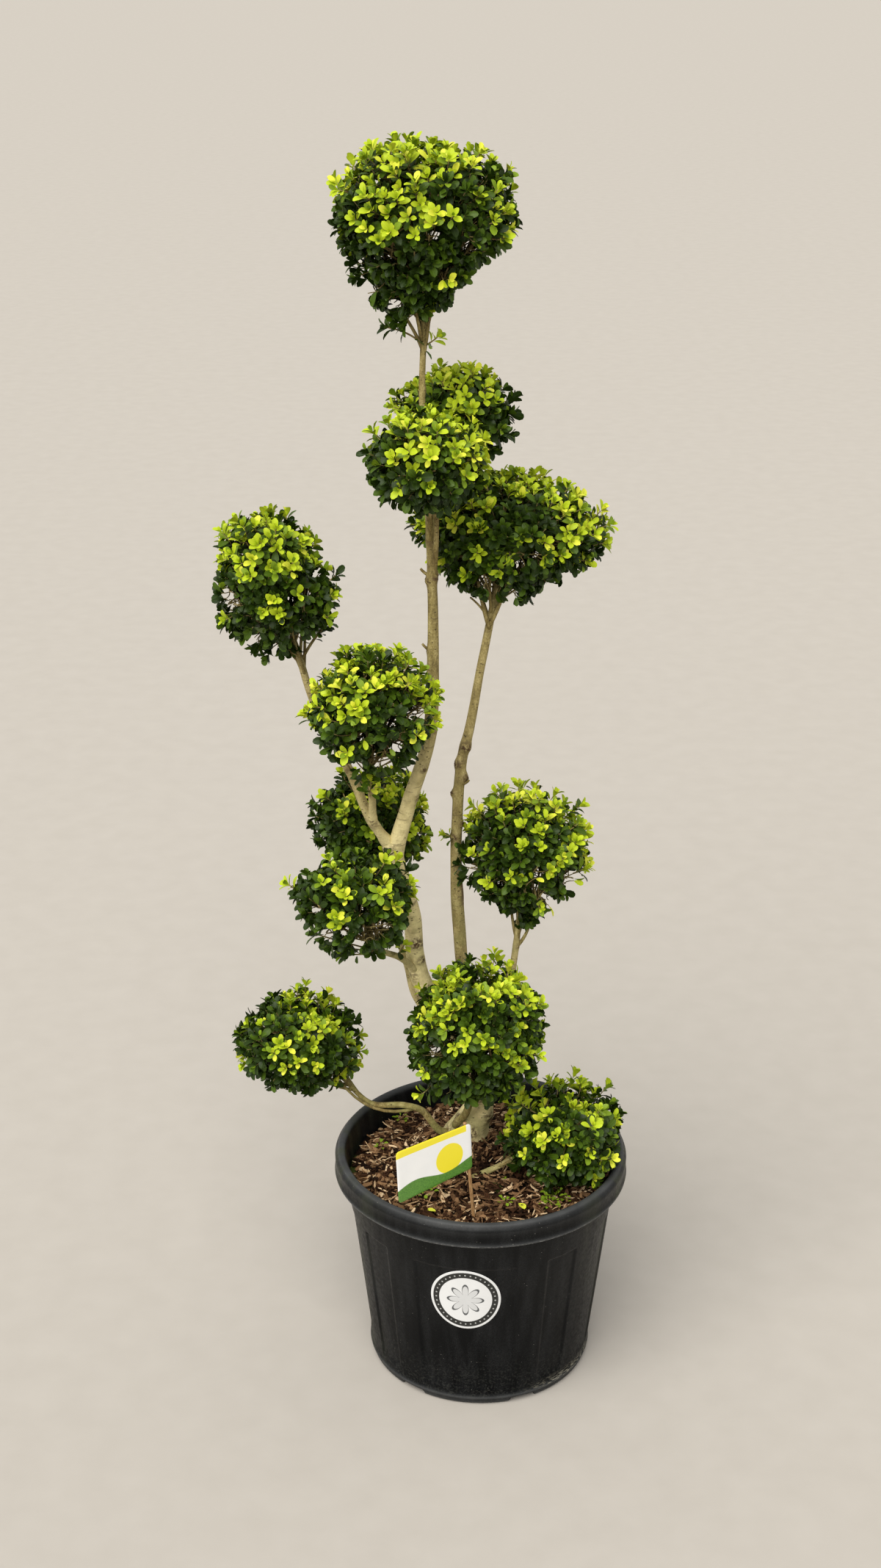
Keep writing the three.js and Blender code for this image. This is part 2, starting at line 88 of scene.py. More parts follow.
# %% [markdown]
# The plant was photographed under a bright, overcast sky. A pale world gives light from all sides,
# and one very wide sun makes the tops of the balls lighter than their undersides, with a soft shadow.
# Area lamps could do the same, but their light would fade across the long floor.

# %% Soft daylight
SKY_COLOUR = (1.0, 0.99, 0.96, 1)
SKY_STRENGTH = 0.6
SUN_COLOUR = (1.0, 0.97, 0.91)
SUN_STRENGTH = 3.7
SUN_WIDTH = math.radians(60)
SUN_TILT = (math.radians(36), math.radians(-20), 0)

world = bpy.data.worlds.new("overcast")
world.use_nodes = True
sky = world.node_tree.nodes["Background"]
sky.inputs["Color"].default_value = SKY_COLOUR
sky.inputs["Strength"].default_value = SKY_STRENGTH
bpy.context.scene.world = world

sun_data = bpy.data.lights.new("wide_sun", "SUN")
sun_data.energy = SUN_STRENGTH
sun_data.color = SUN_COLOUR
sun_data.angle = SUN_WIDTH
sun = bpy.data.objects.new("wide_sun", sun_data)
sun.rotation_euler = SUN_TILT
bpy.context.scene.collection.objects.link(sun)
bpy.context.scene.view_settings.view_transform = "Standard"
print("sun", SUN_STRENGTH, "sky", SKY_STRENGTH)

# %% [markdown]
# Every finish is built from a few kinds of node, so these helpers add one node each and link it.
# A finish reads Object coordinates, which are the part's own metres because every piece's object sits
# at the origin, or it reads a mark: a number from 0 to 1 that the mesh holds at each of its points.

# %% Helpers that build a finish
def start_finish(name, roughness, gloss=0.5):
    """Starts a material; returns it, its node tree and its Principled shader."""
    finish = bpy.data.materials.new(name)
    finish.use_nodes = True
    shader = finish.node_tree.nodes["Principled BSDF"]
    shader.inputs["Roughness"].default_value = roughness
    shader.inputs["Specular IOR Level"].default_value = gloss
    return finish, finish.node_tree, shader


def add(tree, kind, inputs=None, **options):
    """Adds a node, sets its options, and fills or links its inputs by name or number."""
    made = tree.nodes.new(kind)
    for option, value in options.items():
        setattr(made, option, value)
    for socket, value in (inputs or {}).items():
        if isinstance(value, bpy.types.NodeSocket):
            tree.links.new(value, made.inputs[socket])
        else:
            made.inputs[socket].default_value = value
    return made


def place(tree, stretch=(1, 1, 1)):
    """Object coordinates in metres, stretched along each axis."""
    coords = add(tree, "ShaderNodeTexCoord").outputs["Object"]
    return add(tree, "ShaderNodeMapping", {"Vector": coords, "Scale": stretch}).outputs[0]


def mark(tree, name):
    """The number that the mesh holds under this name at each point."""
    return add(tree, "ShaderNodeAttribute", attribute_name=name).outputs["Fac"]


def noise(tree, where, scale, detail=4.0):
    """Cloudy noise whose blots are about one part in scale of a metre wide."""
    return add(tree, "ShaderNodeTexNoise", {"Vector": where, "Scale": scale, "Detail": detail}).outputs[0]


def span(tree, value, low, high, bottom=0.0, top=1.0):
    """Moves a value's range from low..high to bottom..top and clamps it."""
    return add(tree, "ShaderNodeMapRange", {0: value, 1: low, 2: high, 3: bottom, 4: top}).outputs[0]


def sums(tree, operation, *values):
    """One step of arithmetic."""
    return add(tree, "ShaderNodeMath", dict(enumerate(values)), operation=operation).outputs[0]


def times(tree, first, second):
    """The product of two values."""
    return sums(tree, "MULTIPLY", first, second)


def patches(tree, where, scale, detail, low, high, bottom=0.0, top=1.0):
    """Cloudy noise whose range low..high is moved to bottom..top, so that it forms patches."""
    return span(tree, noise(tree, where, scale, detail), low, high, bottom, top)


def specks(tree, where, scale, inner, outer):
    """Scattered round specks: 1 within the inner distance of a point, 0 past the outer."""
    distance = add(tree, "ShaderNodeTexVoronoi", {"Vector": where, "Scale": scale}).outputs["Distance"]
    return span(tree, distance, inner, outer, 1.0, 0.0)


def axes(tree, where):
    """The x, y and z of a place, apart."""
    return add(tree, "ShaderNodeSeparateXYZ", {0: where}).outputs


def mix(tree, share, low, high):
    """Blends two colours, each a socket or a plain (r, g, b, 1)."""
    return add(tree, "ShaderNodeMix", {0: share, 6: low, 7: high}, data_type="RGBA").outputs[2]


def coats(tree, colour, layers):
    """Lays plain colours over a colour in turn, each where its own value says, times a strength."""
    for share, strength, cover in layers:
        colour = mix(tree, times(tree, share, strength), colour, (*cover, 1))
    return colour


def ramp(tree, value, stops):
    """Turns a value into a colour, in straight steps between (place, colour) stops."""
    made = add(tree, "ShaderNodeValToRGB", {0: value})
    elements = made.color_ramp.elements
    for index, (position, colour) in enumerate(stops):
        element = elements[index] if index < 2 else elements.new(position)
        element.position = position
        element.color = (*colour, 1)
    return made.outputs[0]


def relief(tree, shader, height, depth, strength=1.0):
    """Bumps the surface by a height from 0 to 1 that stands for a depth in metres."""
    bump = add(tree, "ShaderNodeBump", {"Height": height, "Distance": depth, "Strength": strength})
    tree.links.new(bump.outputs[0], shader.inputs["Normal"])


def link(tree, value, shader, socket):
    """Feeds a value into one of the shader's inputs."""
    tree.links.new(value, shader.inputs[socket])


# %% [markdown]
# The ground is only a stage: a plain pale floor, wide enough to fill the picture from every side.
# It is one flat face with a faint mottle, so that nothing on it draws the eye from the plant.

# %% The floor
FLOOR_HALF = 60.0


def floor_finish():
    """Pale matt ground with a faint mottle."""
    finish, tree, shader = start_finish("pale_floor", 0.9)
    mottle = noise(tree, place(tree), 18.0, 6.0)
    tone = ramp(tree, mottle, [(0.3, (0.44, 0.41, 0.372)), (0.7, (0.46, 0.43, 0.392))])
    link(tree, tone, shader, "Base Color")
    return finish


floor_mesh = bpy.data.meshes.new("floor")
floor_corners = [(x * FLOOR_HALF, y * FLOOR_HALF, 0) for x, y in ((-1, -1), (1, -1), (1, 1), (-1, 1))]
floor_mesh.from_pydata(floor_corners, [], [(0, 1, 2, 3)])
floor_mesh.materials.append(floor_finish())
floor = bpy.data.objects.new("floor", floor_mesh)
bpy.context.scene.collection.objects.link(floor)
print("floor", 2 * FLOOR_HALF, "m a side")

# %% [markdown]
# A piece is a mesh filled straight from arrays: all points at once, then all faces. Blender can also
# add points one by one, but for a million leaf faces that would take minutes instead of seconds.
# Each piece rides on the plant's one body and stands for the solids that it hides.

# %% Helpers that turn arrays into pieces
def put_piece(name, points, faces, finish, stands_for=(), uv=None, marks=None, smooth=True):
    """Makes one piece from points in mm and a list of face arrays, each with its own corner count."""
    corners = np.concatenate([block.ravel() for block in faces]).astype(np.int32)
    sizes = np.concatenate([np.full(len(block), block.shape[1]) for block in faces])
    mesh = bpy.data.meshes.new(name)
    mesh.vertices.add(len(points))
    mesh.vertices.foreach_set("co", (points * MM).astype(np.float32).ravel())
    mesh.loops.add(len(corners))
    mesh.loops.foreach_set("vertex_index", corners)
    mesh.polygons.add(len(sizes))
    mesh.polygons.foreach_set("loop_start", (np.cumsum(sizes) - sizes).astype(np.int32))
    mesh.polygons.foreach_set("use_smooth", np.full(len(sizes), smooth))
    if uv is not None:
        mesh.uv_layers.new(name="surface").data.foreach_set("uv", uv[corners].astype(np.float32).ravel())
    for label, values in (marks or {}).items():
        attribute = mesh.attributes.new(label, "FLOAT", "POINT")
        attribute.data.foreach_set("value", values.astype(np.float32).ravel())
    mesh.update(calc_edges=True)
    mesh.materials.append(finish)
    piece = bpy.data.objects.new(name, mesh)
    bpy.context.scene.collection.objects.link(piece)
    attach(piece, BODY)
    if stands_for:
        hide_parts(*stands_for)
    print(name, "triangles", int((sizes - 2).sum()))
    return piece


def tube_faces(rows, sides):
    """Outward faces of a closed tube: four-sided between rings, and triangles to a pole at each end.

    The rings' points come first, row by row, then the first ring's pole and the last ring's pole."""
    here = np.arange(sides)
    after = (here + 1) % sides
    row = np.arange(rows - 1)[:, None] * sides
    quads = np.stack([row + here, row + after, row + sides + after, row + sides + here], axis=-1)
    last_row = (rows - 1) * sides
    first = np.stack([after, here, np.full(sides, rows * sides)], axis=-1)
    last = np.stack([last_row + here, last_row + after, np.full(sides, rows * sides + 1)], axis=-1)
    return [quads.reshape(-1, 4), np.concatenate([first, last])]


def for_each(faces, count, size):
    """The faces of one shape repeated for count such shapes, each of size points."""
    step = np.arange(count)[:, None, None] * size
    return [(step + block).reshape(-1, block.shape[1]) for block in faces]


def ring_angles(sides):
    """Angles of the points of a ring, evenly spread over a full turn."""
    return np.arange(sides) * 2 * math.pi / sides


def polar(radius, angle, height):
    """Points at a radius and an angle round the upright axis, at a height."""
    return np.stack([radius * np.cos(angle), radius * np.sin(angle), height], axis=-1)


def unit(vectors):
    """Vectors of length one in the same directions."""
    return vectors / np.maximum(np.linalg.norm(vectors, axis=-1, keepdims=True), 1e-9)


def smooth_step(value):
    """Rises from 0 to 1 with level ends as the value goes from 0 to 1."""
    value = np.clip(value, 0, 1)
    return value * value * (3 - 2 * value)


# %% [markdown]
# The pot is blow-moulded black plastic. On the real one a rolled lip turns down into a deep band with
# a worn hem, the wall below has shallow upright flutes with level tops and one broad flat panel for the
# sticker, and the foot has a ridge and notches that let water out. One profile carried round the axis
# gives all of it, with the flutes and notches as changes of radius and height that depend on the angle.
# Modelling them by hand would take hundreds of faces, and a bump map would vanish on the pot's outline.

# %% The pot's sizes, as in the solids
RIM_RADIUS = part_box("pot")[1].x / MM
POT_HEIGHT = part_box("pot")[1].z / MM
FOOT_RADIUS = 158.5
WALL_SLOPE = 0.118
WALL_THICKNESS = 3.5
FLOOR_THICKNESS = 6
BAND_DEPTH = 34
MULCH_WALL_HEIGHT = 290
DRAIN_COUNT = 6
DRAIN_FIRST = math.radians(-38 - 90)
DRAIN_WIDTH = 42
DRAIN_HEIGHT = 8
DRAIN_DEPTH = 12
FLUTE_COUNT = 12
FLUTE_TURN = math.radians(37 - 90)
FLUTE_HALF = math.radians(7.5)
PANEL_TURN = math.radians(-7.75 - 90)
PANEL_HALF = math.radians(22.25)
FLUTE_EDGE = math.radians(1.1)
FLUTE_DEPTH = 1.9
FLUTE_TOP = 249
FLUTE_FOOT = 26
STICKER_TURN = math.radians(-7.5 - 90)
STICKER_HEIGHT = 193
STICKER_RADIUS = 50
STICKER_TALL = 1.04


def wall_radius(height):
    """Radius of the pot's outer wall: a straight cone from the foot up."""
    return FOOT_RADIUS + WALL_SLOPE * height


def turned_by(angle, centre, period=2 * math.pi):
    """Angle from the nearest of the centres that stand a period apart, up to half a period each way."""
    return (angle - centre + period / 2) % period - period / 2


def wall_wave(angle, height):
    """Millimetres by which the thin wall is out of round: three slow waves that change on the way up."""
    return 0.35 * np.sin(3 * angle + 1.1) * np.sin(height / 70)


# %% [markdown]
# A profile is a list of rows: radius, height and how worn the plastic is there, which also sets where a
# pale painted sheen goes. The round foot, the hem and the lip have rows close together, and the straight
# wall has just enough for the flutes' ends.

# %% The pot's profile
def pot_profile():
    """Radius and height along the outside, over the lip and down the inside, with each point's wear and
    painted sheen.
    """
    top = POT_HEIGHT
    foot_edge = FOOT_RADIUS - DRAIN_DEPTH
    hem = top - BAND_DEPTH
    rows = [(20, 0, 0), (80, 0, 0), (130, 0, 0), (foot_edge - 0.3, 0, 0), (foot_edge + 0.3, 0, 0),
            (152, 0, 0.1), (155, 0.4, 0.3), (157.2, 1.4, 0.5), (158.6, 3.0, 0.5), (159.6, 6.0, 0.3),
            (160.4, 9.0, 0.2), (161.7, 11.5, 0.5), (162.1, 13.5, 0.6), (161.5, 15.5, 0.2), (160.9, 18, 0.05)]
    heights = np.concatenate([np.linspace(22, 30, 5), np.linspace(36, 240, 30), np.linspace(243, 253, 8),
                              np.linspace(258, hem - 4, 5)])
    rows += [(wall_radius(height), height, 0) for height in heights]
    rows += [(wall_radius(hem + 6), hem + 6, 0), (wall_radius(top - 9), top - 9, 0), (203, top - 7.5, 0),
             (204.6, top - 10, 0), (204.8, hem + 4, 0), (205.2, hem + 0.6, 0.1), (206.6, hem - 0.7, 0.5),
             (208.3, hem - 0.6, 0.9), (209.5, hem + 0.5, 1), (210.0, hem + 2.2, 0.8), (209.7, hem + 4.0, 0.2),
             (208.7, hem + 6.0, 0.05), (208.3, hem + 9, 0), (208.4, hem + 14, 0), (208.8, hem + 19, 0.05),
             (209.2, hem + 22.5, 0.1), (209.3, hem + 25, 0.05), (208.4, hem + 27.4, 0.1),
             (206.9, hem + 29.3, 0.15), (205.6, hem + 30.6, 0.3), (204.9, hem + 32.0, 0.5),
             (203.3, hem + 33.4, 0.5), (201, top, 0.5), (198.6, top - 0.2, 0.5), (196.4, top - 1.4, 0.4),
             (194.8, top - 3.4, 0.2), (193.8, top - 6.2, 0)]
    inner_top = top - 10
    rows += [(wall_radius(height) - WALL_THICKNESS, height, 0) for height in np.linspace(inner_top, 284, 9)]
    rows += [(wall_radius(150) - WALL_THICKNESS, 150, 0),
             (wall_radius(FLOOR_THICKNESS) - WALL_THICKNESS, FLOOR_THICKNESS, 0), (60, FLOOR_THICKNESS, 0)]
    return np.array(rows, float)


# %% Flutes, notches and the surface
def flute_depth(angle, height):
    """How far the wall falls back: upright flutes all round, and one broad panel for the sticker."""
    offset = np.abs(turned_by(angle, FLUTE_TURN, 2 * math.pi / FLUTE_COUNT))
    aside = np.abs(turned_by(angle, PANEL_TURN))
    flutes = smooth_step((FLUTE_HALF - offset) / FLUTE_EDGE + 0.5) * (aside > PANEL_HALF + FLUTE_HALF / 2)
    panel = smooth_step((PANEL_HALF - aside) / FLUTE_EDGE + 0.5)
    upright = smooth_step((FLUTE_TOP - height) / 3) * smooth_step((height - FLUTE_FOOT) / 8)
    return FLUTE_DEPTH * np.maximum(flutes, panel) * upright


def drain_lift(angle):
    """Height of the notches under the foot: six flat arches spread round it."""
    offset = turned_by(angle, DRAIN_FIRST, 2 * math.pi / DRAIN_COUNT) * FOOT_RADIUS
    return DRAIN_HEIGHT * smooth_step((DRAIN_WIDTH / 2 - np.abs(offset)) / 3)


OUTSIDE_ROWS = 64


def pot_surface(sides=600):
    """Carries the profile round the axis; the flutes and notches change it by the angle."""
    profile = pot_profile()
    angle = ring_angles(sides)
    radius, height, wear = (column[:, None] + 0 * angle for column in profile.T)
    outside = np.arange(len(profile))[:, None] < OUTSIDE_ROWS
    radius = radius - np.where(outside, flute_depth(angle, height), 0)
    radius = radius + wall_wave(angle, height) * (height > 20)
    past_notch = (radius > FOOT_RADIUS - DRAIN_DEPTH) & (height < DRAIN_HEIGHT) & outside
    lifted = np.where(past_notch, np.maximum(height, drain_lift(angle)), height)
    poles = [[0, 0, 0], [0, 0, FLOOR_THICKNESS]]
    points = np.concatenate([polar(radius, angle, lifted).reshape(-1, 3), poles])
    return points, tube_faces(len(profile), sides), wear


# %% [markdown]
# The plastic is almost black, so its detail is all in faint layers: streaks of dust, a pale film on the
# lip that is partly dust and partly a painted sheen, scratches on the worn hem, specks, a green tinge on
# the shaded sides that is partly algae and partly a painted sheen toward their edges, and a scrape on the
# foot.
# Each layer is a share from 0 to 1 where it lies, and the colours are laid over one another in turn.

# %% The pot's finish
def pot_finish():
    """Satin black plastic: pale film on the lip that is partly painted sheen, scratched hem, dust specks,
    green sides partly painted edge sheen, scraped foot.
    """
    finish, tree, shader = start_finish("satin_black_plastic", 0.4)
    where = place(tree)
    upright = place(tree, (1, 1, 0.12))
    level = place(tree, (1, 1, 6))
    x, y, height = axes(tree, where)
    wear_and_sheen = mark(tree, "wear")
    dust = times(tree, noise(tree, upright, 60, 6), noise(tree, where, 900, 2))
    dust = span(tree, dust, 0.2, 0.42)
    # The pale film is partly dust and partly a painted sheen on the lip and hem, placed by the wear mark.
    film = times(tree, span(tree, wear_and_sheen, 0.0, 0.5, 0.0, 0.5), patches(tree, where, 30, 4, 0.3, 0.7, 0.55, 0.9))
    scuffs = times(tree, span(tree, wear_and_sheen, 0.55, 1.0), patches(tree, level, 260, 8, 0.52, 0.62))
    dots = times(tree, specks(tree, where, 150, 0.06, 0.10), patches(tree, where, 60, 3, 0.5, 0.6))
    # Green tinge on the sides: partly algae, partly a painted sheen toward the pot's left and right edges.
    aside = span(tree, sums(tree, "ABSOLUTE", x), 0.13, 0.19)
    algae_and_edge_sheen = times(tree, aside, patches(tree, upright, 30, 6, 0.46, 0.66))
    low_wall = times(tree, span(tree, height, 0.10, 0.03), patches(tree, where, 300, 8, 0.5, 0.66))
    foot = times(tree, span(tree, height, 0.010, 0.014), span(tree, height, 0.028, 0.018))
    front_right = times(tree, span(tree, x, 0.06, 0.11), span(tree, y, 0.0, -0.05))
    scrape = times(tree, times(tree, foot, front_right), patches(tree, level, 130, 8, 0.50, 0.62))
    black = mix(tree, dust, (0.0018, 0.0021, 0.0025, 1), (0.0140, 0.0148, 0.0158, 1))
    black = coats(tree, black, [
        (film, 1.0, (0.12, 0.125, 0.129)), (scuffs, 0.8, (0.26, 0.26, 0.25)), (dots, 0.5, (0.26, 0.25, 0.22)),
        (algae_and_edge_sheen, 0.6, (0.040, 0.046, 0.022)), (low_wall, 0.3, (0.06, 0.062, 0.055)),
        (scrape, 0.6, (0.36, 0.34, 0.27))])
    link(tree, black, shader, "Base Color")
    link(tree, patches(tree, where, 200, 5, 0.3, 0.7, 0.33, 0.52), shader, "Roughness")
    link(tree, span(tree, height, 0.02, 0.22, 0.05, 0.15), shader, "Specular IOR Level")
    relief(tree, shader, noise(tree, where, 1200, 2), 0.0002, 0.35)
    return finish


pot_points, pot_faces, pot_wear_and_sheen = pot_surface()
pot_marks = {"wear": np.append(pot_wear_and_sheen, [0, 0])}
put_piece("pot", pot_points, pot_faces, pot_finish(), ["pot"], marks=pot_marks)

# %% [markdown]
# The round sticker is a white film disc with a black ring. It is a disc of rings and spokes, bent
# round the wall. Its print is drawn by the finish from the piece's own UV map, where the middle of
# the disc is 0.5, 0.5. The motif is a plain rosette inside a ring of dots.

# %% The sticker
def thin_disc(outline_x, outline_y, thickness, rings=14):
    """A closed thin plate: rings shrink an outline to its middle on the front and again on the back."""
    front = np.linspace(0.05, 0.985, rings)
    share = np.concatenate([front, [1.0, 1.0], front[::-1]])
    lift = np.concatenate([np.ones(rings), [0.75, 0.25], np.zeros(rings)]) * thickness
    x = share[:, None] * outline_x[None, :]
    y = share[:, None] * outline_y[None, :]
    z = lift[:, None] + 0 * x
    flat = np.stack([x, y, z], axis=-1).reshape(-1, 3)
    flat = np.concatenate([flat, [[0, 0, thickness], [0, 0, 0]]])
    return flat, [block[:, ::-1] for block in tube_faces(len(share), len(outline_x))]


def sticker_surface(sides=144, thickness=0.4):
    """The disc's across goes round the wall, its up goes up the wall, and its front faces outwards."""
    angle = ring_angles(sides)
    flat, faces = thin_disc(STICKER_RADIUS * np.cos(angle), STICKER_RADIUS * np.sin(angle), thickness)
    height = STICKER_HEIGHT + STICKER_TALL * flat[:, 1]
    turn = STICKER_TURN + flat[:, 0] / wall_radius(STICKER_HEIGHT)
    out = wall_radius(height) - FLUTE_DEPTH + 0.1 + flat[:, 2] + wall_wave(turn, height)
    return polar(out, turn, height), faces, flat[:, :2] / (2 * STICKER_RADIUS) + 0.5


def sticker_finish():
    """White film printed with a black ring, a ring of dots and an eight-petalled rosette."""
    finish, tree, shader = start_finish("sticker_film", 0.38)
    spot = add(tree, "ShaderNodeUVMap", uv_map="surface").outputs[0]
    middle = add(tree, "ShaderNodeVectorMath", {0: spot, 1: (0.5, 0.5, 0)}, operation="SUBTRACT").outputs[0]
    out = add(tree, "ShaderNodeVectorMath", {0: middle}, operation="LENGTH").outputs["Value"]
    x, y, _ = axes(tree, middle)
    turn = sums(tree, "ARCTAN2", y, x)
    ring = times(tree, span(tree, out, 0.374, 0.378), span(tree, out, 0.466, 0.462))
    dots = sums(tree, "COSINE", times(tree, turn, 36.0))
    dot_row = sums(tree, "SUBTRACT", 1.0, sums(tree, "ABSOLUTE", span(tree, out, 0.40, 0.44, -1.0, 1.0)))
    dot = span(tree, times(tree, span(tree, dots, 0.2, 1.0), dot_row), 0.35, 0.45)
    petal = sums(tree, "ABSOLUTE", sums(tree, "COSINE", times(tree, turn, 4.0)))
    petal = sums(tree, "DIVIDE", out, span(tree, petal, 0.0, 1.0, 0.10, 0.27))
    line = times(tree, span(tree, petal, 0.84, 0.88), span(tree, petal, 1.0, 0.97))
    fill = span(tree, petal, 0.88, 0.84)
    film = mix(tree, noise(tree, place(tree), 40, 3), (0.66, 0.67, 0.68, 1), (0.76, 0.77, 0.78, 1))
    film = coats(tree, film, [(fill, 0.2, (0.10, 0.11, 0.12)), (line, 1.0, (0.08, 0.085, 0.09)),
                              (ring, 1.0, (0.012, 0.013, 0.012)), (dot, 0.75, (0.5, 0.51, 0.5))])
    link(tree, film, shader, "Base Color")
    relief(tree, shader, noise(tree, place(tree), 300, 2), 0.0001, 0.3)
    return finish


sticker_points, sticker_faces, sticker_uv = sticker_surface()
put_piece("pot_sticker", sticker_points, sticker_faces, sticker_finish(), ["pot_sticker"],
          uv=sticker_uv)

# %% [markdown]
# The plant card is a stiff printed sheet with round corners, held up by a split cane behind its right
# edge, and a little taller at its left end. It is made flat, flared to the left, given a slight bow,
# and then turned as the solid is: stood up, rolled and swung about its top right corner. Its print is a
# plain sun over a green bank with a yellow stripe above.

# %% The card
CARD_WIDTH = 120
CARD_HEIGHT = 72
CARD_CORNER = 5
CARD_TOP_RIGHT = np.array([-17.0, -135.0, 450.0])
CARD_YAW = math.radians(33)
CARD_ROLL = math.radians(-3)
CARD_THICKNESS = 1.0
CARD_FLARE = 0.13
CARD_BOW = 1.2


def round_corners(width, height, corner, steps=10):
    """Points round a rectangle with round corners, counter-clockwise from its right side's top."""
    quarter = np.linspace(0, math.pi / 2, steps)
    turn = np.concatenate([quarter, quarter + math.pi / 2, quarter + math.pi, quarter + 1.5 * math.pi])
    corner_x = np.repeat([1, -1, -1, 1], steps) * (width / 2 - corner)
    corner_y = np.repeat([1, 1, -1, -1], steps) * (height / 2 - corner)
    return corner_x + corner * np.cos(turn), corner_y + corner * np.sin(turn)


def card_surface():
    """Flat card, taller to the left and slightly bowed, stood up, rolled, swung and moved to its place."""
    outline_x, outline_y = round_corners(CARD_WIDTH, CARD_HEIGHT, CARD_CORNER)
    flat, faces = thin_disc(outline_x, outline_y, CARD_THICKNESS)
    uv = np.stack([flat[:, 0] / CARD_WIDTH + 0.5, flat[:, 1] / CARD_HEIGHT + 0.5], axis=-1)
    across = flat[:, 0] - CARD_WIDTH / 2
    up = (flat[:, 1] - CARD_HEIGHT / 2) * (1 + CARD_FLARE * (1 - uv[:, 0]))
    bow = CARD_BOW * (2 * uv[:, 0] - 1) ** 2 - CARD_BOW
    forward = CARD_THICKNESS - flat[:, 2] - bow
    rolled_x = across * math.cos(CARD_ROLL) + up * math.sin(CARD_ROLL)
    rolled_z = up * math.cos(CARD_ROLL) - across * math.sin(CARD_ROLL)
    x = rolled_x * math.cos(CARD_YAW) - forward * math.sin(CARD_YAW)
    y = rolled_x * math.sin(CARD_YAW) + forward * math.cos(CARD_YAW)
    return CARD_TOP_RIGHT + np.stack([x, y, rolled_z], axis=-1), faces, uv


def card_finish():
    """White plastic printed with a yellow sun and a green bank, slightly glossy."""
    finish, tree, shader = start_finish("printed_card", 0.32)
    spot = add(tree, "ShaderNodeUVMap", uv_map="surface").outputs[0]
    across, up, _ = axes(tree, spot)
    yellow = (0.87, 0.75, 0.03, 1)
    stretched = add(tree, "ShaderNodeMapping", {"Vector": spot, "Location": (-1.17, -0.44, 0),
                                               "Scale": (CARD_WIDTH / CARD_HEIGHT, 1, 1)}).outputs[0]
    out = add(tree, "ShaderNodeVectorMath", {0: stretched}, operation="LENGTH").outputs["Value"]
    bank_top = times(tree, sums(tree, "SINE", times(tree, across, 7.0)), 0.07)
    bank = span(tree, sums(tree, "SUBTRACT", up, bank_top), 0.245, 0.235)
    bank_tone = mix(tree, noise(tree, place(tree), 500, 3), (0.02, 0.09, 0.015, 1), (0.16, 0.36, 0.05, 1))
    white = mix(tree, noise(tree, place(tree), 30, 2), (0.80, 0.81, 0.82, 1), (0.90, 0.90, 0.89, 1))
    sun_spot = span(tree, out, 0.305, 0.295)
    colour = mix(tree, sun_spot, white, yellow)
    colour = mix(tree, bank, colour, bank_tone)
    stripe = times(tree, span(tree, up, 0.86, 0.865), span(tree, across, 0.94, 0.935))
    colour = mix(tree, stripe, colour, yellow)
    link(tree, colour, shader, "Base Color")
    relief(tree, shader, noise(tree, place(tree), 60, 2), 0.0006, 0.3)
    return finish


card_points, card_faces, card_uv = card_surface()
put_piece("label_card", card_points, card_faces, card_finish(), ["label_card"], uv=card_uv)

# %% [markdown]
# Stems, twigs and the cane are all tubes: rings carried along a path. Each ring is set square to the
# path with the help of one fixed direction, so that the rings never twist. Blender's curves can do
# this too, but as arrays the radius may change with the angle as well, which gives bark its relief.

# %% Helpers that carry rings along paths
def tube(path, radius):
    """Rings round a path, square to it, with a radius for each point of each ring."""
    ahead = unit(np.gradient(path, axis=0))
    across = unit(np.cross([0, 1.0, 0], ahead))
    up = np.cross(ahead, across)
    angle = ring_angles(radius.shape[1])
    spokes = np.cos(angle)[None, :, None] * across[:, None] + np.sin(angle)[None, :, None] * up[:, None]
    points = (path[:, None] + radius[:, :, None] * spokes).reshape(-1, 3)
    return np.concatenate([points, path[:1], path[-1:]]), tube_faces(*radius.shape)


def bundle(paths, radii, sides):
    """Many thin tubes at once: paths is (tubes, rings, 3) and radii (tubes, rings)."""
    tubes, rings = radii.shape
    ahead = unit(np.gradient(paths, axis=1))
    steep = np.abs(ahead[:, :1, 2:]) > 0.8
    fixed = np.where(steep, np.array([1.0, 0, 0]), np.array([0, 0, 1.0]))
    across = unit(np.cross(np.broadcast_to(fixed, ahead.shape), ahead))
    up = np.cross(ahead, across)
    angle = ring_angles(sides)
    spokes = np.cos(angle)[:, None] * across[:, :, None] + np.sin(angle)[:, None] * up[:, :, None]
    points = (paths[:, :, None] + radii[:, :, None, None] * spokes).reshape(tubes, rings * sides, 3)
    points = np.concatenate([points, paths[:, :1], paths[:, -1:]], axis=1)
    return points.reshape(-1, 3), for_each(tube_faces(rings, sides), tubes, rings * sides + 2)


def join(parts):
    """Joins several (points, faces) into one, with the faces renumbered."""
    points, faces, count = [], [], 0
    for part_points, part_faces in parts:
        points.append(part_points)
        faces += [block + count for block in part_faces]
        count += len(part_points)
    return np.concatenate(points), faces


# %% [markdown]
# The cane is a strip of split bamboo, pushed into the mulch. It is a tube that is flatter than round,
# with slight knuckles, and a finish of long streaks that run up it.

# %% The cane
CANE_RADIUS = 2.6
CANE_LENGTH = 172
CANE_RISE = 2
CANE_INSET = 7
CANE_LEAN = 17
CANE_KNUCKLES = (0.34, 0.78)
KNUCKLE_LENGTH = 0.012


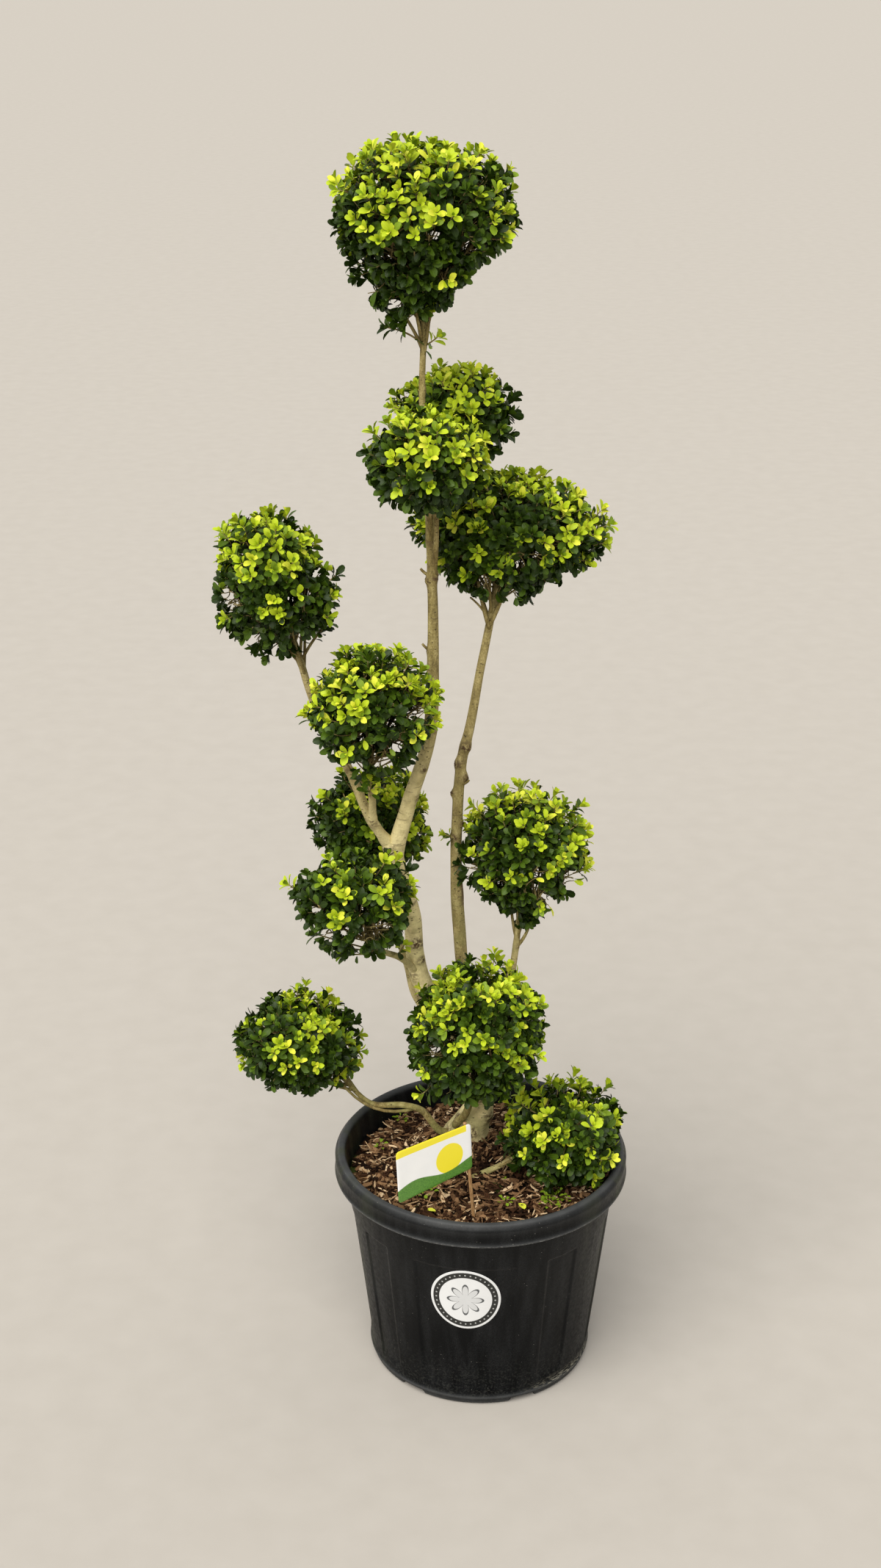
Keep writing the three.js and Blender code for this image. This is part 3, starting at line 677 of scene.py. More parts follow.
def cane_surface(sides=14, rings=70):
    """A straight path from the mulch to behind the card, with knuckles where the radius swells."""
    left = np.array([-math.cos(CARD_YAW), -math.sin(CARD_YAW), 0])
    back = np.array([-math.sin(CARD_YAW), math.cos(CARD_YAW), 0])
    top = CARD_TOP_RIGHT + CANE_INSET * left + (CARD_THICKNESS + 0.3 + CANE_RADIUS) * back
    top[2] += CANE_RISE
    foot = top - CANE_LEAN * left
    foot[2] -= CANE_LENGTH
    share = np.linspace(0, 1, rings)
    path = foot + share[:, None] * (top - foot)
    knuckles = sum(np.exp(-((share - spot) / KNUCKLE_LENGTH) ** 2) for spot in CANE_KNUCKLES)
    flat = 1 - 0.22 * np.abs(np.sin(ring_angles(sides)))
    return tube(path, CANE_RADIUS * (0.94 + 0.1 * knuckles)[:, None] * flat)


def cane_finish():
    """Dry bamboo: straw brown with long darker streaks."""
    finish, tree, shader = start_finish("split_bamboo", 0.55)
    streak = noise(tree, place(tree, (1, 1, 0.05)), 1500, 3)
    tone = ramp(tree, streak, [(0.3, (0.16, 0.075, 0.03)), (0.55, (0.42, 0.24, 0.10)),
                               (0.75, (0.60, 0.40, 0.20))])
    link(tree, tone, shader, "Base Color")
    relief(tree, shader, streak, 0.0004, 0.6)
    return finish


cane_points, cane_faces = cane_surface()
put_piece("label_cane", cane_points, cane_faces, cane_finish(), ["label_cane"])

# %% [markdown]
# The pot is filled with compost, which shows between the bark chips on it. It is a bumpy surface that
# rises to the trunk, by the same rule as the solid: rings round the pot's middle slide to the trunk's
# foot as they get smaller. The bumps are a sum of a few slow waves that run in different directions.

# %% The compost
TRUNK_FOOT = np.array([-18.0, 55.0])
MULCH_FOOT_HEIGHT = 316
MULCH_PATCH = 50
MULCH_FALL = 0.5
MULCH_GAP = 0.6
MULCH_EDGE = wall_radius(MULCH_WALL_HEIGHT) - WALL_THICKNESS - MULCH_GAP


def waves(seed, count, low, high):
    """Random wave directions, frequencies between low and high a millimetre, and phases."""
    random = np.random.default_rng(seed)
    turn = random.uniform(0, 2 * math.pi, count)
    pace = random.uniform(low, high, count)
    directions = np.stack([pace * np.cos(turn), pace * np.sin(turn)], axis=-1)
    return directions, random.uniform(0, 2 * math.pi, count)


MULCH_WAVES = waves(11, 14, 0.05, 0.22)
MULCH_LUMPS = 0.55


def mulch_place(share, angle):
    """Where a share of the way out at an angle lies, with the surface's height there."""
    radius = MULCH_EDGE * share
    flat = np.stack([radius * np.cos(angle), radius * np.sin(angle)], axis=-1)
    flat = flat + TRUNK_FOOT * (1 - share)[..., None]
    fall = smooth_step((radius - MULCH_PATCH) / (MULCH_EDGE - MULCH_PATCH) / MULCH_FALL)
    height = MULCH_FOOT_HEIGHT + (MULCH_WALL_HEIGHT - MULCH_FOOT_HEIGHT) * fall
    pace, phase = MULCH_WAVES
    bumps = np.sin(flat @ pace.T + phase).sum(-1) * MULCH_LUMPS
    return np.concatenate([flat, (height + bumps)[..., None]], axis=-1)


def compost_surface(rings=70, sides=220):
    """The bumpy top out to the wall, then straight down the wall and across the pot's floor."""
    share = np.linspace(1, 0.01, rings)
    angle = ring_angles(sides)
    top = mulch_place(*np.meshgrid(share, angle, indexing="ij"))
    low = FLOOR_THICKNESS + 0.3
    base = polar(wall_radius(low) - WALL_THICKNESS - MULCH_GAP, angle, low + 0 * angle)
    points = np.concatenate([base[None], top]).reshape(-1, 3)
    poles = [[0, 0, low], top[-1].mean(0)]
    return np.concatenate([points, poles]), tube_faces(rings + 1, sides)


def compost_finish():
    """Dark crumbly compost with mossy green patches; its near-black tones also paint the shade in the gaps
    between chips.
    """
    finish, tree, shader = start_finish("compost", 0.95, 0.1)
    where = place(tree)
    crumbs = noise(tree, where, 260, 8)
    # The near-black tones are partly the compost's own colour and partly painted shade between the chips.
    tone = ramp(tree, crumbs, [(0.35, (0.003, 0.0015, 0.001)), (0.6, (0.014, 0.006, 0.003)),
                               (0.8, (0.06, 0.03, 0.015))])
    moss = patches(tree, where, 26, 3, 0.58, 0.66, 0.0, 0.6)
    link(tree, mix(tree, moss, tone, (0.07, 0.10, 0.018, 1)), shader, "Base Color")
    relief(tree, shader, crumbs, 0.004)
    return finish


compost_points, compost_faces = compost_surface()
put_piece("compost", compost_points, compost_faces, compost_finish(), ["bark_mulch"])

# %% [markdown]
# Thousands of bark chips lie on the compost. Each is a bent splinter of a few faces with its own length,
# turn and tilt, and they are dealt out in three tones. Displacing the compost would give lumps, but
# never the crossed, overhanging splinters that one sees in the pot. All splinters of a tone are worked
# out at once: every line below handles the whole heap.

# %% The shape of the bark chips
CHIP_RINGS = 4
CHIP_SIDES = 4


def splinters(random, count, lengths, widths, thicknesses, rise):
    """Bent wedges of four rings of four points: they taper to both ends and lie tilted on the compost."""
    length = random.uniform(*lengths, count)
    width = random.uniform(*widths, count)
    thick = random.uniform(*thicknesses, count)
    reach = 1 - (0.5 * length + 1) / MULCH_EDGE
    share = np.sqrt(random.uniform(0.02, 1, count)) * reach
    angle = random.uniform(0, 2 * math.pi, count)
    middle = mulch_place(share, angle)
    middle[:, 2] += random.uniform(*rise, count)
    turn = random.uniform(0, 2 * math.pi, count)
    tilt = random.normal(0, 0.28, count)
    roll = random.normal(0, 0.55, count)
    ahead = polar(np.cos(tilt), turn, np.sin(tilt))
    side = unit(np.cross([0, 0, 1.0], ahead))
    up = np.cross(ahead, side)
    side, up = (side * np.cos(roll)[:, None] + up * np.sin(roll)[:, None],
                up * np.cos(roll)[:, None] - side * np.sin(roll)[:, None])
    along = np.array([-0.5, -0.28, 0.25, 0.5])
    taper = np.stack([random.uniform(0.15, 0.8, count), random.uniform(0.8, 1, count),
                      random.uniform(0.8, 1, count), random.uniform(0.1, 0.7, count)], axis=-1)
    bend = random.normal(0, 0.09, count)[:, None] * length[:, None] * (along ** 2)[None, :] * 4
    spine = (middle[:, None] + (along * length[:, None])[..., None] * ahead[:, None]
             + bend[..., None] * up[:, None])
    corner_side = np.array([1, -1, -1, 1]) * 0.5
    corner_up = np.array([1, 1, -1, -1]) * 0.5
    wide = (taper * width[:, None])[..., None] * corner_side
    deep = (np.sqrt(taper) * thick[:, None])[..., None] * corner_up
    rings = spine[:, :, None] + wide[..., None] * side[:, None, None] + deep[..., None] * up[:, None, None]
    size = CHIP_RINGS * CHIP_SIDES + 2
    points = np.concatenate([rings.reshape(count, size - 2, 3), spine[:, :1], spine[:, -1:]], axis=1)
    faces = for_each(tube_faces(CHIP_RINGS, CHIP_SIDES), count, size)
    return points.reshape(-1, 3), faces, np.repeat(random.uniform(0, 1, count), size)


# %% The bark chips in three tones
def chip_finish(name, dark, light):
    """Torn bark: each chip has its own tone between two colours, with a fibrous, rough grain."""
    finish, tree, shader = start_finish(name, 0.9, 0.12)
    grain = noise(tree, place(tree), 420, 6)
    own = sums(tree, "ADD", times(tree, mark(tree, "chip"), 0.7), times(tree, grain, 0.6))
    link(tree, mix(tree, span(tree, own, 0.25, 1.0), (*dark, 1), (*light, 1)), shader, "Base Color")
    relief(tree, shader, grain, 0.0012)
    return finish


CHIP_KINDS = [
    # name, darkest and lightest tone, number of chips, number of thin strands
    ("chips_dark", (0.004, 0.0015, 0.0006), (0.058, 0.025, 0.011), 2700, 240),
    ("chips_brown", (0.056, 0.026, 0.011), (0.290, 0.165, 0.080), 2200, 260),
    ("chips_tan", (0.36, 0.22, 0.105), (0.80, 0.60, 0.37), 540, 220),
]
for index, (chip_name, dark, light, chip_count, strand_count) in enumerate(CHIP_KINDS):
    random = np.random.default_rng(40 + index)
    *chips, chip_tones = splinters(random, chip_count, lengths=(7, 22), widths=(2.6, 7.5),
                                   thicknesses=(1, 2.6), rise=(-3, 6))
    *strands, strand_tones = splinters(random, strand_count, lengths=(12, 28), widths=(1.2, 2.4),
                                       thicknesses=(0.8, 1.4), rise=(2, 8))
    chip_points, chip_faces = join([chips, strands])
    put_piece(chip_name, chip_points, chip_faces, chip_finish(chip_name, dark, light),
              ["bark_mulch"], marks={"chip": np.concatenate([chip_tones, strand_tones])}, smooth=False)

# %% [markdown]
# The limbs follow the same curves as the solids: a smooth curve through a few points, from the
# parent's middle line to where the limb enters its ball. The table and the rule are written out again
# here, because the picture's limbs are finer than the solids: they go on into the ball's heart. A limb
# starts at a root of its own or at a height on its parent, runs via its points, and tapers between two
# radii; settle is the power of the taper, and flare widens the trunk's foot.

# %% The limbs, as in the solids
LIMBS = [
    {"name": "trunk", "root": (-18, 55, 316.3),
     "via": [(0, 50, 404), (-88, 45, 585), (-99, 43, 685), (-126, 40, 787)],
     "radii": (21, 11.5), "settle": 1.8, "flare": 15},
    {"name": "leader_stem", "parent": "trunk", "height": 787, "ball": "top",
     "via": [(-102, 39, 846), (-73, 37, 951), (-68, 36, 1090), (-71, 33, 1230), (-81, 30, 1404)],
     "radii": (11.5, 3.8), "settle": 1.3},
    {"name": "far_left_bough", "parent": "trunk", "height": 782, "ball": "far_left",
     "via": [(-155, 40, 829), (-182, 42, 897), (-228, 45, 995)], "radii": (7.2, 4.6)},
    {"name": "mid_left_bough", "parent": "far_left_bough", "height": 822, "ball": "mid_left",
     "via": [(-151, 25, 866), (-154, 0, 905)], "radii": (5.4, 4)},
    {"name": "right_trunk", "parent": "trunk", "height": 405, "ball": "upper_right",
     "via": [(-28, 60, 600), (-36, 68, 767), (-29, 77, 896), (-18, 82, 943), (-5, 92, 1018)],
     "radii": (10.5, 4.8), "settle": 0.8},
    {"name": "right_ball_stem", "parent": "trunk", "height": 392, "ball": "right",
     "via": [(30, 57, 490), (46, 58, 601)], "radii": (7, 4.2)},
    {"name": "back_left_stem", "parent": "trunk", "height": 470, "ball": "back_left",
     "via": [(-91, 54, 539), (-106, 64, 590), (-131, 90, 663)], "radii": (5, 3.8)},
    {"name": "lower_left_bough", "parent": "trunk", "height": 588, "ball": "lower_left",
     "via": [(-114, 15, 626), (-142, -18, 656)], "radii": (5.5, 3.4)},
    {"name": "front_stem", "parent": "trunk", "height": 336, "ball": "middle",
     "via": [(-36, 32, 347), (-22, 22, 370), (-15, 4, 409)], "radii": (6, 4.6)},
    {"name": "low_left_branch", "parent": "trunk", "height": 324, "ball": "low_left",
     "via": [(-57, 42, 330), (-86, 40, 366), (-111, 42, 373), (-159, 48, 373)], "radii": (6, 3.2)},
    {"name": "low_right_branch", "root": (-14, -42, 299), "ball": "low_right",
     "via": [(4, -39, 310), (24, -36, 319)], "radii": (5, 3.6)},
    {"name": "upper_front_bough", "parent": "leader_stem", "height": 1222, "ball": "upper_front",
     "via": [(-72, 12, 1262)], "radii": (5, 3.6)},
    {"name": "upper_back_bough", "parent": "leader_stem", "height": 1266, "ball": "upper_back",
     "via": [(-64, 52, 1306)], "radii": (4.4, 3.2)},
]
print("limbs", len(LIMBS))

# %% [markdown]
# A ball is a slightly boxy ellipsoid with a centre and three half widths, whose lower half draws in by
# an amount and a power of the depth. Shears never leave a perfect shape, so swells are added: bumps and
# dips in millimetres, each at an angle seen from the front (0 is right, 90 is up), with its width in
# degrees. The last table says how much fresh growth a ball carries, and how much more to its right.

# %% The balls, as in the solids, and their swells
BALL_ROWS = [
    ("top", (-77, 32, 1612), (118, 110, 123), (0.58, 0.6)),
    ("upper_back", (-38, 120, 1366), (82, 74, 71), (0.1, 1.5)),
    ("upper_front", (-76, -50, 1345), (84, 76, 69), (0.15, 1.5)),
    ("upper_right", (31, 125, 1200), (138, 100, 91), (0.3, 0.7)),
    ("far_left", (-276, 42, 1164), (88, 82, 106), (0.2, 1.5)),
    ("mid_left", (-148, -50, 1007), (95, 84, 94), (0.75, 1.5)),
    ("back_left", (-157, 130, 785), (84, 76, 75), (0.1, 1.5)),
    ("lower_left", (-174, -55, 741), (91, 82, 69), (0.2, 1.5)),
    ("low_left", (-259, 62, 469), (97, 88, 72), (0.1, 1.5)),
    ("middle", (-6, -58, 546), (100, 88, 112), (0.1, 1.5)),
    ("right", (62, 55, 758), (89, 83, 105), (0.9, 1.9)),
    ("low_right", (119, -30, 372), (90, 83, 75), (0.1, 1.5)),
]
BALLS = {name: {"centre": centre, "half": half, "draw": draw} for name, centre, half, draw in BALL_ROWS}
BOXINESS = 2.3
SWELLS = {
    "top": [(300, -56, 22), (332, -18, 14), (30, 9, 18), (84, -22, 18), (135, 6, 16), (205, 10, 20),
            (163, -10, 12), (310, -14, 12)],
    "upper_back": [(42, -24, 13), (15, -4, 8), (108, -13, 16), (136, -18, 11), (156, 14, 8),
                   (322, -12, 14)],
    "upper_front": [(12, 6, 12), (165, 8, 12), (240, -8, 16), (122, -16, 12)],
    "upper_right": [(20, 10, 16), (57, -24, 15), (345, 16, 14), (192, -10, 18), (315, -14, 12)],
    "far_left": [(36, -56, 22), (80, -26, 15), (112, -16, 16), (155, -8, 10), (180, -26, 12), (212, 8, 12),
                 (316, -18, 12)],
    "mid_left": [(207, -30, 20), (300, -44, 17), (262, -34, 22), (356, -30, 11), (18, 8, 9), (182, 15, 8),
                 (158, -22, 11), (125, -16, 12), (50, -18, 10), (338, -14, 10)],
    "back_left": [(45, -28, 14), (205, 9, 14)],
    "lower_left": [(213, -48, 20), (165, 9, 14), (0, -16, 14), (250, -8, 14), (62, -12, 10), (318, -10, 10),
                   (284, -6, 10)],
    "low_left": [(50, -44, 19), (90, -32, 13), (132, -28, 12), (193, 14, 12), (8, -26, 14), (216, -24, 14),
                 (240, -10, 10), (315, -8, 10)],
    "middle": [(76, -32, 16), (118, -18, 20), (38, -14, 10), (158, -14, 12), (186, -6, 8), (207, 10, 12),
               (330, -17, 14), (2, -7, 12), (311, -30, 14), (235, 12, 12)],
    "right": [(142, 13, 20), (195, 10, 14), (250, 9, 16), (54, -14, 12), (14, -18, 9), (166, -10, 9),
              (215, -8, 10)],
    "low_right": [(62, -46, 18), (100, -46, 18), (2, -16, 12), (345, -10, 9), (300, 10, 20),
                  (130, -30, 14)],
}
NEW_GROWTH = {"top": (0.37, -0.02), "upper_back": (0.42, -0.14), "upper_front": (0.37, 0.16),
              "upper_right": (0.42, 0.02), "far_left": (0.27, 0), "mid_left": (0.36, 0.08),
              "back_left": (0.32, 0.28), "lower_left": (0.1, 0.12), "low_left": (0.3, 0.16),
              "middle": (0.29, 0.06), "right": (0.34, 0.14), "low_right": (0.38, 0)}
print("balls", len(BALLS))

# %% [markdown]
# In places the clipped shell is open, and bare twigs show against the light. Each opening is a round
# hole about a line of sight: x and z in the upright plane through the ball's middle, and a radius.
# Leaves that would close it are left out later, and the twigs stay.

# %% Openings in the foliage
OPENINGS = {
    "mid_left": [(-146, 966, 7), (-145, 950, 10), (-130, 946, 9), (-115, 971, 10), (-122, 1001, 9),
                 (-128, 964, 6), (-86, 1016, 10), (-161, 983, 9), (-165, 940, 8), (-99, 1011, 7)],
    "lower_left": [(-154, 699, 13), (-210, 696, 10), (-225, 737, 8), (-164, 735, 8), (-228, 800, 8),
                   (-170, 685, 9), (-187, 702, 8), (-136, 708, 9)],
    "top": [(-70, 1610, 9), (-62, 1609, 7), (-24, 1596, 10), (-123, 1589, 7), (-116, 1582, 7),
            (-55, 1562, 9), (-114, 1529, 9), (-91, 1507, 10), (-148, 1542, 8)],
    "far_left": [(-338, 1147, 9), (-332, 1133, 9), (-302, 1085, 9), (-277, 1074, 7), (-235, 1149, 8),
                 (-254, 1140, 7), (-221, 1174, 7), (-250, 1085, 9)],
    "right": [(76, 738, 9), (72, 717, 8), (82, 705, 9), (123, 732, 11), (126, 716, 9), (-15, 746, 9),
              (46, 671, 8), (94, 691, 9), (27, 724, 7)],
    "middle": [(-66, 519, 10), (-42, 539, 8), (9, 517, 7), (-48, 456, 8), (-14, 481, 8)],
    "upper_right": [(1, 1138, 10), (49, 1163, 9), (39, 1120, 9), (72, 1175, 8), (91, 1129, 10),
                    (112, 1144, 9), (15, 1125, 10)],
}
OPENING_REACH = 120
print("openings", sum(len(spots) for spots in OPENINGS.values()))

# %% [markdown]
# These functions are the ball as a formula. One turns directions into points of the outline, one tells
# which points lie inside it, and one gives the outward direction there. A mesh could answer the same
# questions, but only slowly, and the sprigs ask them thousands of times.

# %% The outline of a ball
def drawn_in(ball, level):
    """Width of the ball at a level from -1 to 1: its lower half draws in by a power of the depth."""
    amount, power = ball["draw"]
    return 1 - amount * np.maximum(0, -level) ** power


def swell(name, direction):
    """Millimetres by which the clipped ball stands out: bell-shaped bumps and dips seen from the front."""
    total = np.zeros(len(direction))
    for turn, size, width in SWELLS[name]:
        towards = np.array([math.cos(math.radians(turn)), 0, math.sin(math.radians(turn))])
        away = np.degrees(np.arccos(np.clip(direction @ towards, -1, 1)))
        total = total + size * np.exp(-0.5 * (away / width) ** 2)
    return total


def outline_point(ball, direction, scale):
    """The outline in unit directions: a slightly boxy ball whose lower half draws in."""
    norm = (np.abs(direction) ** BOXINESS).sum(-1) ** (1 / BOXINESS)
    level = direction[:, 2] / norm
    width = drawn_in(ball, level) / norm
    shape = np.stack([direction[:, 0] * width, direction[:, 1] * width, level], axis=-1)
    return np.array(ball["centre"]) + np.reshape(scale, (-1, 1)) * np.array(ball["half"]) * shape


def inside_ball(ball, points, scale=1.0):
    """True for points within the ball's outline, grown or shrunk by a scale."""
    offset = (points - np.array(ball["centre"])) / np.array(ball["half"]) / scale
    level = np.clip(offset[..., 2], -1, 1)
    width = drawn_in(ball, level)
    sides = (np.abs(offset[..., :2] / width[..., None]) ** BOXINESS).sum(-1)
    return (np.abs(offset[..., 2]) < 1) & (sides + np.abs(level) ** BOXINESS < 1)


def square_to(direction):
    """Two directions that are square to each of the given ones and to each other."""
    helper = np.where(np.abs(direction[:, 2:]) > 0.8, [1.0, 0, 0], [0, 0, 1.0])
    first = unit(np.cross(direction, helper))
    return first, np.cross(direction, first)


def outline_normal(ball, direction):
    """Outward direction of the outline, from two small steps to its sides."""
    first, second = square_to(direction)
    here = outline_point(ball, direction, 1)
    step = 0.02
    edge_a = outline_point(ball, unit(direction + step * first), 1) - here
    edge_b = outline_point(ball, unit(direction + step * second), 1) - here
    normal = unit(np.cross(edge_a, edge_b))
    return normal * np.sign((normal * direction).sum(-1, keepdims=True))


# %% [markdown]
# A limb's middle line is a smooth curve through its points. The curve is the centripetal kind, which
# never loops between them, as a plain cubic curve may where points stand close together.

# %% The limbs' curves
def centripetal_curve(points, steps=60):
    """Smooth curve through points: cubic pieces whose pace follows the square root of the spacing."""
    points = np.array(points, float)
    padded = np.concatenate([[2 * points[0] - points[1]], points, [2 * points[-1] - points[-2]]])
    before, start, end, after = padded[:-3], padded[1:-2], padded[2:-1], padded[3:]
    gap_a, gap_b, gap_c = (np.linalg.norm(b - a, axis=1, keepdims=True) ** 0.5
                           for a, b in ((before, start), (start, end), (end, after)))
    pull_a = ((start - before) / gap_a - (end - before) / (gap_a + gap_b) + (end - start) / gap_b) * gap_b
    pull_b = ((end - start) / gap_b - (after - start) / (gap_b + gap_c) + (after - end) / gap_c) * gap_b
    t = np.linspace(0, 1, steps, endpoint=False)[None, :, None]
    square = -3 * start + 3 * end - 2 * pull_a - pull_b
    cube = 2 * start - 2 * end + pull_a + pull_b
    line = start[:, None] + pull_a[:, None] * t + square[:, None] * t ** 2 + cube[:, None] * t ** 3
    return np.concatenate([line.reshape(-1, 3), points[-1:]])


def run_along(path):
    """Distance from the start to each point of a path."""
    return np.concatenate([[0], np.cumsum(np.linalg.norm(np.diff(path, axis=0), axis=1))])


def at_run(path, run):
    """Places at given distances along a path."""
    known = run_along(path)
    return np.stack([np.interp(run, known, path[:, axis]) for axis in range(3)], axis=-1)


def entry_point(ball, start):
    """Where a straight line to the ball's middle enters its outline."""
    line = start + np.linspace(0, 1, 400)[:, None] * (np.array(ball["centre"]) - start)
    return line[np.argmax(inside_ball(ball, line))]


def lay_out_limbs():
    """Gives each limb its curve and its length; a limb that carries a ball ends where it enters it."""
    laid = {}
    for limb in LIMBS:
        if "parent" in limb:
            parent = laid[limb["parent"]]["curve"]
            root = parent[np.argmin(np.abs(parent[:, 2] - limb["height"]))]
        else:
            root = np.array(limb["root"], float)
        points = [root, *np.array(limb["via"], float)]
        if "ball" in limb:
            points.append(entry_point(BALLS[limb["ball"]], points[-1]))
        curve = centripetal_curve(points)
        laid[limb["name"]] = {"settle": 1, "flare": 0, **limb, "curve": curve, "length": run_along(curve)[-1]}
    return laid


def limb_radius(limb, share):
    """The solid's taper from root to tip, with the flare at the trunk's foot."""
    root, tip = limb["radii"]
    flare = limb["flare"] * np.exp(-share * limb["length"] / 22)
    return tip + (root - tip) * (1 - np.minimum(share, 1)) ** limb["settle"] + flare


LAID = lay_out_limbs()
for limb_name, limb in LAID.items():
    print(limb_name, "length", round(limb["length"]))

# %% [markdown]
# Holly bark is smooth but never even: stems swell at old side shoots, bulge where branches leave, and
# carry knots and cut stubs. Each limb's radius is the solid's taper plus a relief: a few long waves
# that run round and along the stem, and a bump for each knot. A knot is a height, an angle round the
# stem, a size and a width. The mesh also holds marks that the finish reads: how knotty, how scarred
# and how bleached each point is. The bleaching is partly real pale bark and partly painted light: on
# the trunk it is raised to make up for the shade that the balls cast there.

# %% Bark relief
LIMB_SIDES = 30
STATION = 2.5
KNOTS = {
    "right_trunk": [(918, -80, 6.0, 8), (874, -20, 5.2, 7), (893, -150, 3.4, 8), (850, -170, 3.4, 6),
                    (806, -30, 2.2, 6), (788, -120, 3.4, 7), (745, -80, 1.6, 6), (700, -60, 1.4, 10),
                    (560, -120, 1.5, 9)],
    "trunk": [(700, -60, 1.8, 7), (612, -50, 2.4, 8), (338, -95, 5.5, 12), (362, -35, 5, 11),
              (345, -150, 5.5, 12), (392, -105, 3.5, 10), (350, 40, 5, 12), (420, -60, 3, 9),
              (640, -70, 2.2, 12), (560, -150, 2.2, 12), (470, -60, 2.5, 14), (735, -100, 2.0, 10)],
    "leader_stem": [(905, -70, 2.0, 7), (862, -40, 1.8, 7), (1176, -30, 2.6, 9), (1168, 190, 2.4, 8),
                    (1071, 200, 1.6, 7), (1024, -120, 1.6, 7), (960, -60, 1.5, 9), (1290, -20, 1.4, 6),
                    (1420, 0, 1.4, 6)],
    "back_left_stem": [(530, -110, 1.8, 6), (575, -60, 1.4, 5)],
    "right_ball_stem": [(625, -60, 1.4, 7)],
    "low_left_branch": [(366, -90, 1.6, 6)],
    "far_left_bough": [(900, -100, 1.5, 7), (980, -60, 1.3, 6)],
    "mid_left_bough": [(880, -90, 1.0, 6)],
    "low_right_branch": [(300, -90, 2.4, 9), (303, 60, 2.4, 9), (306, 150, 1.6, 7)],
}
# How pale each limb is at its root and from a third of the way on: partly real bleached bark, partly painted
# light, most of all on the trunk where the balls shade it.
PALE_AND_LIT_BARK = {"trunk": (1.0, 1.0), "leader_stem": (0.95, 0.05), "far_left_bough": (0.8, 0.25),
             "mid_left_bough": (0.7, 0.35), "lower_left_bough": (0.8, 0.4), "right_trunk": (0.3, 0.1),
             "right_ball_stem": (0.3, 0.3), "low_right_branch": (0.0, 0.3), "back_left_stem": (0.6, 0.4)}
PALE_SHARE = 0.35
CAP_LENGTH = 8
WAVE_SHARE = 0.055
BURIED = 24
BURIED_DROP = 14
KNOT_ROUGHNESS = 1.1
CONTINUED_LIMB = "leader_stem"
COLLAR = 0.3
CHILD_SWELL = 1.6
SCAR_LIMB = "right_trunk"
SCAR_HEIGHT = 706
SCAR_HALF = 26
SCAR_ANGLE = math.radians(-22)
SCAR_WIDTH = math.radians(20)
SCAR_DEPTH = 1.1


def run_at_height(limb, height):
    """Distance along a limb at which it passes a height."""
    curve = limb["curve"]
    return run_along(curve)[np.argmin(np.abs(curve[:, 2] - height))]


def bark_waves(run, angle, seed):
    """Long waves round and along a stem, between -1 and 1 or so."""
    random = np.random.default_rng(seed)
    total = 0
    for turns, size in ((1, 0.5), (2, 0.45), (3, 0.35), (4, 0.2), (6, 0.15)):
        for _ in range(2):
            pace = random.choice([-1, 1]) / random.uniform(9, 45)
            total = total + size * np.sin(turns * angle + run * pace + random.uniform(0, 2 * math.pi))
    return total / 1.6


def swellings(limb):
    """Knots of the limb as (run, angle, size, width), with one more where each child leaves it."""
    found = [(run_at_height(limb, height), math.radians(turn), size, width)
             for height, turn, size, width in KNOTS.get(limb["name"], [])]
    for child in LAID.values():
        if child.get("parent") == limb["name"]:
            away = child["curve"][40] - child["curve"][0]
            found.append((run_at_height(limb, child["height"]), math.atan2(away[1], away[0]),
                          CHILD_SWELL, child["radii"][0] * 2.2))
    return found


def limb_path(limb):
    """The limb's curve, led on to its ball's heart or past its end, and sunk where it has its own root."""
    path = limb["curve"]
    if limb["name"] == CONTINUED_LIMB:
        before = LAID[limb["parent"]]["curve"]
        before = before[(before[:, 2] > limb["height"] - 46) & (before[:, 2] < limb["height"] - 20)]
        path = centripetal_curve([before[0], before[-1], *path[[60, 120, 180, 240, 300, -1]]])
    if "ball" in limb:
        heart = np.array(BALLS[limb["ball"]]["centre"], float)
        beyond = np.linspace(0.02, 0.75, 24)[:, None] * (heart - path[-1])
    else:
        beyond = np.linspace(1, CAP_LENGTH, 8)[:, None] * unit(path[-1] - path[-2])
    path = np.concatenate([path, path[-1] + beyond])
    if "root" in limb:
        sunk = path[:1] - BURIED * unit(path[3] - path[0]) - [0, 0, BURIED_DROP]
        path = np.concatenate([sunk, path])
    return path


# %% The relief of one limb
def bark_relief(limb, seed, run, own_run, height, radius, angle):
    """How far the bark stands out of the taper in mm, and how knotty and how scarred it is."""
    relief_mm = radius * WAVE_SHARE * bark_waves(run, angle, seed)
    if limb["flare"]:
        relief_mm += np.exp(-run / 30) * 4.5 * np.sin(3 * angle + 0.6) * np.cos(angle * 2)
    knotty = np.zeros_like(relief_mm)
    for spot, turn, size, width in swellings(limb):
        around = turned_by(angle, turn) * radius
        bump = np.exp(-((own_run - spot) / width) ** 2 - (around / width) ** 2)
        relief_mm += size * bump
        knotty = np.maximum(knotty, bump * min(size / 2.5, 1))
    relief_mm += KNOT_ROUGHNESS * knotty ** 2 * np.sin(7 * angle + run * 0.5)
    if "parent" in limb and limb["name"] != CONTINUED_LIMB:
        parent_radius = limb_radius(LAID[limb["parent"]], np.array([0.5]))[0]
        relief_mm += COLLAR * radius * np.exp(-((run - parent_radius) / (1.3 * radius[0])) ** 2)
    scarred = np.zeros_like(knotty)
    if limb["name"] == SCAR_LIMB:
        along = np.clip(1 - ((height - SCAR_HEIGHT) / SCAR_HALF) ** 2, 0, 1)
        scarred = np.sqrt(along) * smooth_step((SCAR_WIDTH - np.abs(turned_by(angle, SCAR_ANGLE))) / 0.3)
    return relief_mm - SCAR_DEPTH * scarred, knotty, scarred


